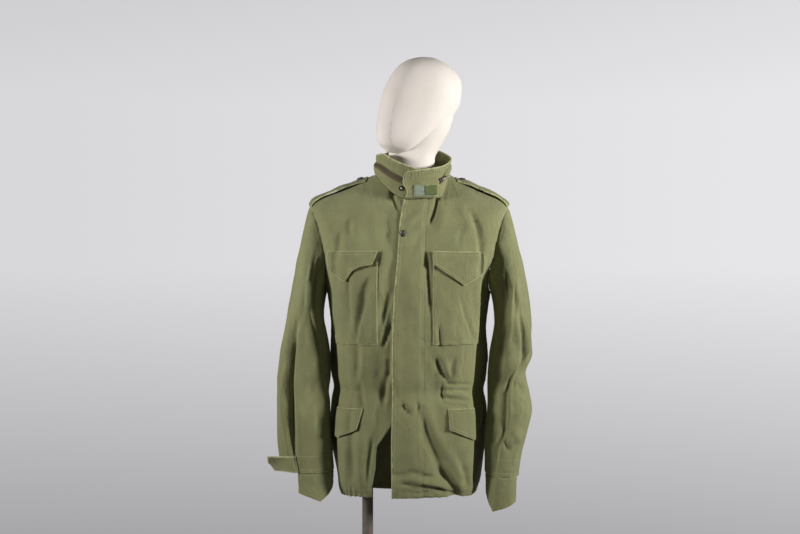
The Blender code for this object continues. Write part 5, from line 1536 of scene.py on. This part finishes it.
zip_cloth = plain_cloth("zip_cloth", (0.105, 0.085, 0.045, 1), (0.150, 0.118, 0.066, 1), 0.00012, 900)
hook_cloth = plain_cloth("hook_cloth", (0.235, 0.285, 0.225, 1), (0.320, 0.370, 0.300, 1), 0.00018, 1400)
loop_cloth = plain_cloth("loop_cloth", (0.120, 0.160, 0.058, 1), (0.190, 0.230, 0.095, 1), 0.00030, 1100, 1.0)
thread_cloth = plain_cloth("thread_cloth", (0.400, 0.405, 0.225, 1), (0.500, 0.500, 0.300, 1), 0.00005, 700)

# %% Zip tape, hook tape and loop tab
# Where each is: from the lapping end, and as shares of the collar's height.
ZIP_FROM, ZIP_TO, ZIP_UP, ZIP_MIDDLE, ZIP_TAPE = 34 / 36, 2 / 36, (0.42, 0.60), 0.52, 0.0008
PATCH_FROM, PATCH_TO, PATCH_UP, PATCH_THICK = 0.0660, 0.0220, (0.06, 0.47), 0.0012
LOOP_FROM, LOOP_TO, LOOP_UP, LOOP_THICK = 0.0645, 0.0390, (0.10, 0.42), 0.0016
LOOP_LIFT = LAYER_GAP + 0.0018
TAPE_STEP, COLLAR_MEAN_HIGH = 0.0016, 0.065


def on_collar(name, start, end, up, lift, wall, material, slot, finished):
    across = start + (end - start) * lines(abs(end - start), COLLAR_STEP)
    heights = up[0] + (up[1] - up[0]) * lines(COLLAR_MEAN_HIGH * (up[1] - up[0]), TAPE_STEP)
    return cloth(name, collar.on, across, heights, lift, wall, material, slot, finished, held="laid")


zip_ends = collar.length * ZIP_FROM, collar.length * ZIP_TO
on_collar("collar_zip", *zip_ends, ZIP_UP, SEAM_GAP, ZIP_TAPE, zip_cloth, "zip_tape", [])
COVER_UP, COVER_LIFT, COVER_LAID, COVER_WALL, COVER_WIDE = (0.36, 0.66), 0.0011, 0.0002, 0.0008, 0.020


def zip_cover(name, start, end):
    """The collar's own cloth closes over the zip from the start, and has gone down again at the end."""

    def place(from_over_end, share_up, lift):
        across = (from_over_end - end) / (start - end)
        up = (share_up - COVER_UP[0]) / (COVER_UP[1] - COVER_UP[0])
        laid = ease(np.maximum(1 - across / 0.15, np.abs(2 * up - 1) * 4 - 3))
        return collar.drawn_in(from_over_end, share_up, (lift + COVER_LIFT) * (1 - laid) + COVER_LAID * laid)

    across = start + (end - start) * lines(abs(start - end), COLLAR_STEP, start=True)
    heights = COVER_UP[0] + (COVER_UP[1] - COVER_UP[0]) * lines(COVER_WIDE, TAPE_STEP)
    cloth(name, place, across, heights, SEAM_GAP, COVER_WALL, pocket_cloth, finished=["left"], held="laid")


zip_cover("zip_cover", 0.071, 0.022)
zip_cover("zip_cover_side", 0.094, 0.150)
patch = PATCH_FROM, PATCH_TO, PATCH_UP, LAYER_GAP, PATCH_THICK
loop = LOOP_FROM, LOOP_TO, LOOP_UP, LOOP_LIFT, LOOP_THICK
on_collar("collar_patch", *patch, hook_cloth, "hook_tape", ALL_SIDES)
on_collar("collar_tab", *loop, loop_cloth, "loop_tape", ALL_SIDES)

# %% [markdown]
# ## Sewing
#
# A stitch is a short thread, thicker in its middle, and there are thousands of them, so each one is a ball
# of twenty faces drawn out along its row. The rows are read from the cloth itself, at set distances from
# its borders, so that they lie in the grooves that were pressed for them.

# %% Rows and stitches
STITCH_EVERY, STITCH_LONG, THREAD_THICK = 0.0050, 0.0032, 0.00095
OFF_EVERY_ROW = (0.3, 0.8, 0.52)  # a direction that no row of stitches takes


def row_along(name, border, inset, start=0.0, end=0.0):
    """Points on a piece's front at a distance from one border, leaving out a length at each end."""
    front, far = cut[name]["front"], cut[name]["far"]
    if border in ("left", "right"):
        away, along = far[border], far["low"]
    else:
        away, along = far[border].T, far["left"].T
        front = front.transpose(1, 0, 2)
    if border in ("right", "high"):
        away, along, front = away[:, ::-1], along[:, ::-1], front[:, ::-1]
    points = []
    for i in range(len(front)):
        if start <= along[i, 0] <= along[-1, 0] - end:
            points.append([np.interp(inset, away[i], front[i, :, axis]) for axis in range(3)])
    return np.array(points)


def sew(name, rows):
    """One piece made of all the stitches in these rows."""
    bm = bmesh.new()
    bmesh.ops.create_icosphere(bm, subdivisions=1, radius=1)
    ball = np.array([vert.co[:] for vert in bm.verts]) * [STITCH_LONG / 2, THREAD_THICK / 2, THREAD_THICK / 2]
    one = bpy.data.meshes.new("one_stitch")
    bm.to_mesh(one)
    bm.clear()
    count = 0
    for row in rows:
        length = lengths_along(row)
        places = np.arange(STITCH_EVERY / 2, length[-1], STITCH_EVERY)
        middle, ahead = (
            np.stack([np.interp(places + step, length, row[:, axis]) for axis in range(3)], axis=1)
            for step in (0, STITCH_LONG / 2)
        )
        along = ahead - middle
        along /= np.maximum(np.linalg.norm(along, axis=1, keepdims=True), 1e-9)
        beside = np.cross(along, OFF_EVERY_ROW)
        beside /= np.linalg.norm(beside, axis=1, keepdims=True)
        third = np.cross(along, beside)
        for m, a, b, c in zip(middle, along, beside, third):
            one.vertices.foreach_set("co", (m + ball @ np.stack([a, b, c])).ravel())
            bm.from_mesh(one)
            count += 1
    mesh = mesh_from(bm, name)
    mesh.shade_smooth()
    mesh.materials.append(thread_cloth)
    print(name, count, "stitches")
    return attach(add_object(name, mesh), "jacket")


def around(name, insets, borders, short=0.0):
    """Rows beside several borders of one piece, each stopping short of the next border's row."""
    ends = [(border, inset, inset - short) for inset in insets for border in borders]
    return [row_along(name, border, inset, end, end) for border, inset, end in ends]


DOUBLE, CUFF_ROW, LOWER_SNAP_ROW = (FIRST_ROW, SECOND_ROW), 0.038, 0.225
storm_rows = [row_along("storm_flap", "left", inset, inset) for inset in DOUBLE]
storm_rows += [row_along("storm_flap", "right", inset, LOWER_SNAP_ROW) for inset in DOUBLE]
sew("storm_flap_sewing", storm_rows + [row_along("storm_flap", "low", HEM_HEIGHT, 0.003, 0.002)])
for word in SIDES:
    flaps = around(f"chest_flap_{word}", DOUBLE, THREE_SIDES) + around(f"chest_flap_{word}", DOUBLE, ["low"])
    flaps += around(f"lower_flap_{word}", DOUBLE, ["left", "right", "high", "low"])
    sew(f"flap_sewing_{word}", flaps)
    sew(f"pocket_sewing_{word}", around(f"chest_pocket_{word}", DOUBLE[:1], ["left", "right", "low"]))
    seams = [row_along(f"front_{word}", "right", inset) for inset in DOUBLE]
    seams += [row_along(f"front_{word}", "low", HEM_HEIGHT)]
    if word == "right":
        seams += [row_along("front_right", "left", inset) for inset in DOUBLE]
    sew(f"front_sewing_{word}", seams)
    cuffs = [row_along(f"sleeve_{word}", "high", inset) for inset in (*DOUBLE, CUFF_ROW)]
    sew(f"sleeve_sewing_{word}", cuffs + [row_along(f"sleeve_{word}", "low", FIRST_ROW)])
    straps = [f"{strap}_{word}" for strap in ("epaulette", "cuff_tab", "cuff_guard")]
    sew(f"strap_sewing_{word}", [row for strap in straps for row in around(strap, DOUBLE[:1], THREE_SIDES)])
sew("back_sewing", [row_along("back", "low", HEM_HEIGHT)])
COLLAR_SEAM_ROW, TAPE_ROW = 0.0035, 0.0015
collar_rows = [row_along("collar", "high", inset, 0, inset) for inset in DOUBLE]
collar_rows += [row_along("collar", "right", inset, 0.004, inset) for inset in DOUBLE]
collar_rows += [row_along("collar", "low", COLLAR_SEAM_ROW)] + around("collar_patch", [TAPE_ROW], ALL_SIDES)
sew("collar_sewing", collar_rows + around("collar_tab", [TAPE_ROW], ["right"]))
TACK_THREADS = (-0.0006, 0, 0.0006)


def bar_tack(on, start, end, lift):
    """A short bar of close stitches, laid on a surface from start to end."""
    share = np.linspace(0, 1, 6)[:, None]
    across, up = np.hsplit((1 - share) * start + share * end, 2)
    return [on(across[:, 0] + step, up[:, 0], lift) for step in TACK_THREADS]


tacks = bar_tack(collar.on, (0.0115, 0.84), (0.0200, 0.70), 0.0008)
tacks += bar_tack(body.on, (0.034, body.level_at(1.026)), (0.040, body.level_at(1.018)), 0.0010)
sew("bar_tacks", tacks)

# %% [markdown]
# ## Metal and buttons
#
# The snaps are blackened brass, rubbed bright on their high rings. The shoulder straps have four-hole
# buttons. All are turned shapes: a profile spun round an axis.

# %% Hard finishes


def hard_finish(name, colour, worn, roughness, metallic, scale=300.0):
    """Metal, plastic or paint with a second colour where it is worn."""
    material, tree, shader = new_material(name, roughness, {"Metallic": metallic})
    marks = mottle(tree, add(tree, "TexCoord").outputs["Object"], scale, 6.0)
    colour = mix_colour(tree, between(tree, marks, 0.5, 0.72), colour, worn)
    tree.links.new(colour, shader.inputs["Base Color"])
    rough = between(tree, marks, 0.3, 0.7, roughness * 1.15, roughness * 0.85)
    tree.links.new(rough, shader.inputs["Roughness"])
    return material


dark_metal = hard_finish("dark_metal", (0.090, 0.082, 0.066, 1), (0.330, 0.300, 0.250, 1), 0.42, 0.9)
bright_metal = hard_finish("bright_metal", (0.520, 0.490, 0.440, 1), (0.330, 0.300, 0.250, 1), 0.28, 1.0)
horn = hard_finish("horn", (0.085, 0.075, 0.048, 1), (0.150, 0.130, 0.085, 1), 0.38, 0.0)
steel = hard_finish("steel", (0.170, 0.145, 0.120, 1), (0.230, 0.200, 0.165, 1), 0.45, 0.2, 60.0)


# %% Turned pieces
SHARP_FROM = 35  # degrees


def turned(name, profile, matrix, steps, material):
    """A closed solid spun from (radius, height) points that start and end on its axis, from the top down."""
    bm = bmesh.new()
    verts = [bm.verts.new((radius, 0, height)) for radius, height in profile]
    edges = [bm.edges.new(pair) for pair in zip(verts, verts[1:])]
    turn = {"axis": (0, 0, 1), "cent": (0, 0, 0), "angle": 2 * math.pi, "steps": steps}
    bmesh.ops.spin(bm, geom=verts + edges, use_merge=True, **turn)
    bmesh.ops.remove_doubles(bm, verts=bm.verts, dist=1e-6)
    bmesh.ops.transform(bm, matrix=matrix, verts=bm.verts)
    bmesh.ops.recalc_face_normals(bm, faces=bm.faces)
    mesh = mesh_from(bm, name)
    mesh.shade_smooth()
    mesh.set_sharp_from_angle(angle=math.radians(SHARP_FROM))
    mesh.materials.append(material)
    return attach(add_object(name + "_made", mesh), "jacket")


# Profiles, as shares of the radius and of the thickness.
SNAP_RING = [(0, 0.45), (0.44, 0.45), (0.55, 0.62), (0.68, 0.98), (0.84, 1), (0.96, 0.72), (1, 0.30)]
SNAP_RING += [(1, 0), (0, 0)]
SNAP_STUD = [(0, 0.80), (0.20, 0.76), (0.33, 0.55), (0.36, 0.3), (0, 0.3)]


def sized(profile, radius, thick):
    return [(r * radius, h * thick) for r, h in profile]


def snap(name, matrix, radius, thick):
    """A snap's cap: a raised ring round a hollow, with a bright stud in it."""
    cap = turned(name, sized(SNAP_RING, radius, thick), matrix, 40, dark_metal)
    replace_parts(cap, name)
    stud = turned(name + "_stud", sized(SNAP_STUD, radius, thick), matrix, 24, bright_metal)


FRONT_SNAP_HEIGHT, FRONT_SNAP_INSET, PRESSED_IN = 1.392, 0.009, 0.0004
SNAP_RADIUS, SNAP_THICKNESS = 0.0082, 0.0028
COLLAR_SNAP_FROM_END, COLLAR_SNAP_UP, COLLAR_SNAP_RADIUS = 0.044, 0.28, 0.006
row = smooth_columns(STORM_FLAP, "z", np.array([FRONT_SNAP_HEIGHT]))
across, level = row["edge"] + FRONT_SNAP_INSET, body.level_at(np.array([FRONT_SNAP_HEIGHT]))
here, out = body.on(across, level, LAYER_GAP + DOUBLE_WALL - PRESSED_IN)[0], body.normal(across, level)[0]
snap("storm_flap_snap", frame_matrix(here, out, (1, 0, 0)), SNAP_RADIUS, SNAP_THICKNESS)


def collar_frame(from_over_end, share_up, lift):
    """Place and directions on the collar: along it towards its lapping end, up it, and out of it."""
    ends, up = np.array([from_over_end, from_over_end - 0.005]), np.array([share_up, share_up])
    here, ahead = collar.on(ends, up, lift)
    return frame_matrix(here, collar.on(ends, up, lift + 0.01)[0] - here, ahead - here)


snap_frame = collar_frame(collar.length - COLLAR_SNAP_FROM_END, COLLAR_SNAP_UP, -SEAM_GAP)
snap("collar_snap", snap_frame, COLLAR_SNAP_RADIUS, SNAP_THICKNESS)

# %% Shoulder buttons
BUTTON_HOLLOW = 0.60  # the share of its thickness that is left in its middle
BUTTON_PROFILE = [(0, BUTTON_HOLLOW), (0.42, BUTTON_HOLLOW), (0.60, 0.80), (0.80, 1), (0.92, 0.92)]
BUTTON_PROFILE += [(1, 0.55), (0.96, 0.18), (0.8, 0), (0, 0)]
BUTTON_HOLE, BUTTON_SUNK, THREAD_OVER = 0.0013, 0.0002, 0.0002


def epaulette_button(name, side):
    """Adds a button to a shoulder strap, and gives the two rows of its crossed threads."""
    share = EPAULETTE_BUTTON_SHARE
    u, run = np.array([0, 0, -0.5, 0.5]), np.array([share - 0.06, share + 0.06, share, share])
    before, after, one_side, other_side = epaulette_point(side, u, run, DOUBLE_WALL)
    middle = epaulette_point(side, np.array([0.0]), np.array([share]), DOUBLE_WALL - BUTTON_SUNK)[0]
    out = np.cross(after - before, other_side - one_side)
    matrix = frame_matrix(middle, out * np.sign(out[2]), after - before)
    profile = sized(BUTTON_PROFILE, BUTTON_RADIUS, BUTTON_THICKNESS)
    button = turned(f"epaulette_button_{name}", profile, matrix, 36, horn)
    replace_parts(button, f"epaulette_button_{name}")
    top = BUTTON_HOLLOW * BUTTON_THICKNESS + THREAD_OVER
    holes = [(x * BUTTON_HOLE, y * BUTTON_HOLE, top) for x, y in ((1, 1), (-1, -1), (1, -1), (-1, 1))]
    ends = [matrix @ Vector(hole) for hole in holes]
    return [np.array([a.lerp(b, t) for t in np.linspace(0, 1, 4)]) for a, b in (ends[:2], ends[2:])]


sew("button_sewing", [row for name, side in SIDES.items() for row in epaulette_button(name, side)])

# %% [markdown]
# ## The zip
#
# Small teeth, in the dark horn finish of the buttons, stand along the middle of the tape, and the slider
# holds the pin that the pull turns on.

# %% Teeth
TOOTH_EVERY, TOOTH_SIZE, TEETH_END = 0.0021, (0.0012, 0.0034, 0.0012), 0.002


def zip_teeth():
    bm = bmesh.new()
    for place in np.arange(zip_ends[1] + TEETH_END, zip_ends[0] - TEETH_END, TOOTH_EVERY):
        made = bmesh.ops.create_cube(bm, size=1)["verts"]
        bmesh.ops.scale(bm, vec=TOOTH_SIZE, verts=made)
        bmesh.ops.transform(bm, matrix=collar_frame(place, ZIP_MIDDLE, SEAM_GAP + ZIP_TAPE), verts=made)
    mesh = mesh_from(bm, "zip_teeth")
    mesh.materials.append(horn)
    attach(add_object("zip_teeth", mesh), "jacket")
    print("teeth:", len(mesh.polygons) // 6)


zip_teeth()
for name in ("collar_zip_slider", "collar_zip_pull"):
    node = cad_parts[name]
    node.data.materials.clear()
    node.data.materials.append(dark_metal)

# %% [markdown]
# ## The dress form and its stand
#
# The form is covered with a fine jersey, sewn from a few long panels, so the head shows faint seams. It
# has no face. The torso keeps well inside the jacket, and comes close to it only at the shoulders, where
# the weight rests.

# %% Jersey
JERSEY_CLEAN, JERSEY_GREYED = (0.735, 0.690, 0.645, 1), (0.690, 0.635, 0.585, 1)
JERSEY_SEAM, SEAM_SHOWS, SEAM_SINKS = (0.36, 0.30, 0.25, 1), 0.22, 0.0005
WALE_HEIGHT, FUZZ_HEIGHT = 0.00005, 0.00012
finish = {"Sheen Weight": 0.10, "Sheen Roughness": 0.5, "Specular IOR Level": 0.2}
jersey, tree, shader = new_material("jersey", 0.95, finish)
place = add(tree, "TexCoord").outputs["Object"]
seam_near = add(tree, "Attribute", attribute_name="edge").outputs["Fac"]
seam_dark = between(tree, seam_near, 0.0006, 0.0016, 1, 0)
soiled = between(tree, mottle(tree, place, 9.0, 3.0), 0.35, 0.7)
colour = mix_colour(tree, soiled, JERSEY_CLEAN, JERSEY_GREYED)
colour = mix_colour(tree, math_node(tree, "MULTIPLY", seam_dark, SEAM_SHOWS), colour, JERSEY_SEAM)
tree.links.new(colour, shader.inputs["Base Color"])
knit = {"Vector": place, "Scale": 260.0, "Distortion": 1.5}
wales = add(tree, "TexWave", knit, bands_direction="Z").outputs["Fac"]
fuzz = math_node(tree, "MULTIPLY", mottle(tree, place, 1300.0, 2.0), FUZZ_HEIGHT)
height = math_node(tree, "ADD", math_node(tree, "MULTIPLY", wales, WALE_HEIGHT), fuzz)
sunk = math_node(tree, "MULTIPLY", seam_dark, SEAM_SINKS)
bumped(tree, shader, math_node(tree, "SUBTRACT", height, sunk))

# %% Head, neck and torso
FORM_FROM, FORM_TO = 0.50, 2.88  # levels of the body
FORM_SHOULDER_FROM, FORM_SHOULDER_TO = 2.05, 2.80  # the levels between which the cloth rests on the form
FORM_SHOULDER_WIDTH = 0.050  # and how far from the shoulder seam it does
FORM_BOTTOM_Z = 1.020
NECK_CENTRE_X, NECK_CENTRE_Y = 0.006, 0.000
NECK_HALF_WIDTH, NECK_HALF_DEPTH = 0.054, 0.050
NECK_JOINT_Z = 1.540
# The neck widens under the jaw, to the wearer's left.
NECK_RINGS = table(
    "z shift_x half_width half_depth shift_y",
    [
        (NECK_JOINT_Z + SEAM_GAP, 0.006, 0.054, 0.050, 0.000),
        (1.570, 0.0065, 0.0530, 0.050, 0.002),
        (1.590, 0.0110, 0.0580, 0.051, 0.003),
        (1.612, 0.0170, 0.0645, 0.054, 0.005),
        (1.635, 0.0240, 0.0698, 0.056, 0.006),
        (1.660, 0.0310, 0.0700, 0.057, 0.006),
        (1.682, 0.0350, 0.0680, 0.056, 0.005),  # from here on inside the head
        (1.705, 0.0380, 0.0590, 0.050, 0.004),
    ],
)
HEAD_CENTRE_X, HEAD_CENTRE_Y, HEAD_CENTRE_Z = 0.022, -0.004, 1.686
HEAD_TURN, HEAD_LEAN = 50, 14
HEAD_PROFILE = table(
    "height front back half_width",
    [
        (-0.118, -0.060, -0.010, 0.015),
        (-0.105, -0.078, 0.000, 0.036),
        (-0.085, -0.088, 0.020, 0.050),
        (-0.050, -0.094, 0.055, 0.062),
        (0.000, -0.096, 0.088, 0.073),
        (0.035, -0.090, 0.098, 0.0755),
        (0.072, -0.076, 0.094, 0.069),
        (0.095, -0.056, 0.077, 0.057),
        (0.111, -0.028, 0.045, 0.036),
        (0.118, -0.004, 0.016, 0.012),
    ],
)


def closed_loft(name, rings, seam):
    """A closed solid through rings of points; seam is how far each one is from the jersey's nearest seam."""
    rows, columns = rings.shape[:2]
    bm = bmesh.new()
    bmesh.ops.create_grid(bm, x_segments=columns, y_segments=rows - 1, size=0.5)
    edge = bm.verts.layers.float.new("edge")
    for vert in bm.verts:
        column, row = round((vert.co.x + 0.5) * columns) % columns, round((vert.co.y + 0.5) * (rows - 1))
        vert.co = Vector(rings[row, column])
        vert[edge] = seam[row, column]
    bmesh.ops.remove_doubles(bm, verts=bm.verts, dist=1e-6)
    bmesh.ops.holes_fill(bm, edges=bm.edges, sides=0)
    bmesh.ops.recalc_face_normals(bm, faces=bm.faces)
    mesh = mesh_from(bm, name)
    mesh.shade_smooth()
    mesh.materials.append(jersey)
    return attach(add_object(name + "_made", mesh), "jacket")


HEAD_ROWS, NECK_ROWS, HEAD_COLUMNS = 72, 24, 96
HEAD_SEAM_SIDE = 0.026  # two seams run over the head, this far from its middle


def form_head():
    chin, crown = HEAD_PROFILE["height"][0], HEAD_PROFILE["height"][-1]
    at = np.sin(np.linspace(-math.pi / 2, math.pi / 2, HEAD_ROWS + 2))[1:-1]
    heights = (chin + crown + at * (crown - chin)) / 2
    profile = smooth_columns(HEAD_PROFILE, "height", heights)
    angles = np.radians(np.arange(HEAD_COLUMNS) * 360 / HEAD_COLUMNS)
    middle, reach = (profile["front"] + profile["back"]) / 2, (profile["back"] - profile["front"]) / 2
    x = profile["half_width"][:, None] * np.sin(angles)
    y = middle[:, None] - reach[:, None] * np.cos(angles)
    points = np.stack([x, y, np.repeat(heights[:, None], HEAD_COLUMNS, axis=1)], axis=2)
    lean = Matrix.Rotation(math.radians(HEAD_LEAN), 3, "Y")
    place = np.array(lean @ Matrix.Rotation(math.radians(-HEAD_TURN), 3, "Z"))
    head_centre = np.array([GARMENT_X + HEAD_CENTRE_X, HEAD_CENTRE_Y, HEAD_CENTRE_Z])
    seam = np.abs(np.abs(x) - HEAD_SEAM_SIDE)
    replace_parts(closed_loft("form_head", points @ place.T + head_centre, seam), "form_head")


def form_neck():
    z = np.linspace(NECK_RINGS["z"][0], NECK_RINGS["z"][-1], NECK_ROWS)
    rings = smooth_columns(NECK_RINGS, "z", z)
    angles = np.radians(np.arange(HEAD_COLUMNS) * 360 / HEAD_COLUMNS)
    x = GARMENT_X + rings["shift_x"][:, None] + rings["half_width"][:, None] * np.sin(angles)
    y = rings["shift_y"][:, None] - rings["half_depth"][:, None] * np.cos(angles)
    points = np.stack([x, y, np.repeat(z[:, None], HEAD_COLUMNS, axis=1)], axis=2)
    closed_loft("form_neck", points, np.full(x.shape, FAR_FROM_EDGE))


TORSO_ROWS, TORSO_COLUMNS = 64, 128
TORSO_CLEAR, SHOULDER_CLEAR, SHOULDER_FADE = 0.030, 0.0030, 0.2


def form_torso():
    share, level = np.meshgrid(
        np.linspace(-1, 1, TORSO_COLUMNS + 1)[:-1], np.linspace(FORM_FROM, FORM_TO, TORSO_ROWS)
    )
    side = np.where(share < 0, -1, 1)
    across = np.abs(share) * body.centre_back(level, side)
    off_seam = np.abs(np.abs(across) - np.abs(body.side_line(level, side)))
    resting = ease((level - FORM_SHOULDER_FROM) / SHOULDER_FADE)
    resting *= ease((FORM_SHOULDER_TO - level) / SHOULDER_FADE) * ease(1.6 - off_seam / FORM_SHOULDER_WIDTH)
    inset = TORSO_CLEAR + (SHOULDER_CLEAR - TORSO_CLEAR) * resting
    rings = body.at(*body.grid_place(across, level), -WALL - inset)
    rings[0, :, 2] = FORM_BOTTOM_Z
    around_neck = share[0] * math.pi
    neck = np.stack(
        [
            GARMENT_X + NECK_CENTRE_X + NECK_HALF_WIDTH * np.sin(around_neck),
            NECK_CENTRE_Y - NECK_HALF_DEPTH * np.cos(around_neck),
            np.full(TORSO_COLUMNS, NECK_JOINT_Z),
        ],
        axis=1,
    )
    upper = []
    for step in np.linspace(0.08, 1.0, 12):  # the shares of the way up from the shoulders to the neck
        inwards = math.sin(step * math.pi / 2)
        way = np.array([inwards, inwards, step])
        upper.append(rings[-1] * (1 - way) + neck * way)
    rings = np.concatenate([rings, np.array(upper)])
    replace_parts(closed_loft("form_torso", rings, np.full(rings.shape[:2], FAR_FROM_EDGE)), "form_torso")


form_head()
form_neck()
form_torso()

# %% The stand
POLE_RADIUS, BASE_RADIUS, BASE_THICKNESS = 0.0125, 0.190, 0.008
SOCKET_RADIUS, SOCKET_Z = 0.036, 1.006


def upright(name, profile, steps):
    closed = [(0, profile[0][1]), *profile, (0, profile[-1][1])]
    made = turned(name, closed, Matrix.Identity(4), steps, steel)
    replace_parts(made, name)


socket_top = FORM_BOTTOM_Z - SEAM_GAP
socket = [(SOCKET_RADIUS - 0.002, socket_top), (SOCKET_RADIUS, socket_top - 0.002), (SOCKET_RADIUS, SOCKET_Z)]
upright("pole_socket", socket, 48)
pole_foot = BASE_THICKNESS + SEAM_GAP
upright("pole", [(POLE_RADIUS, SOCKET_Z - SEAM_GAP), (POLE_RADIUS, pole_foot)], 40)
rim = [(BASE_RADIUS - 0.0030, BASE_THICKNESS), (BASE_RADIUS - 0.0009, BASE_THICKNESS - 0.0009)]
upright("base", rim + [(BASE_RADIUS, BASE_THICKNESS - 0.003), (BASE_RADIUS, 0)], 96)

pale_floor = new_material("pale_floor", 0.7, {"Base Color": (0.60, 0.59, 0.61, 1)})[0]
floor_mesh.materials.append(pale_floor)
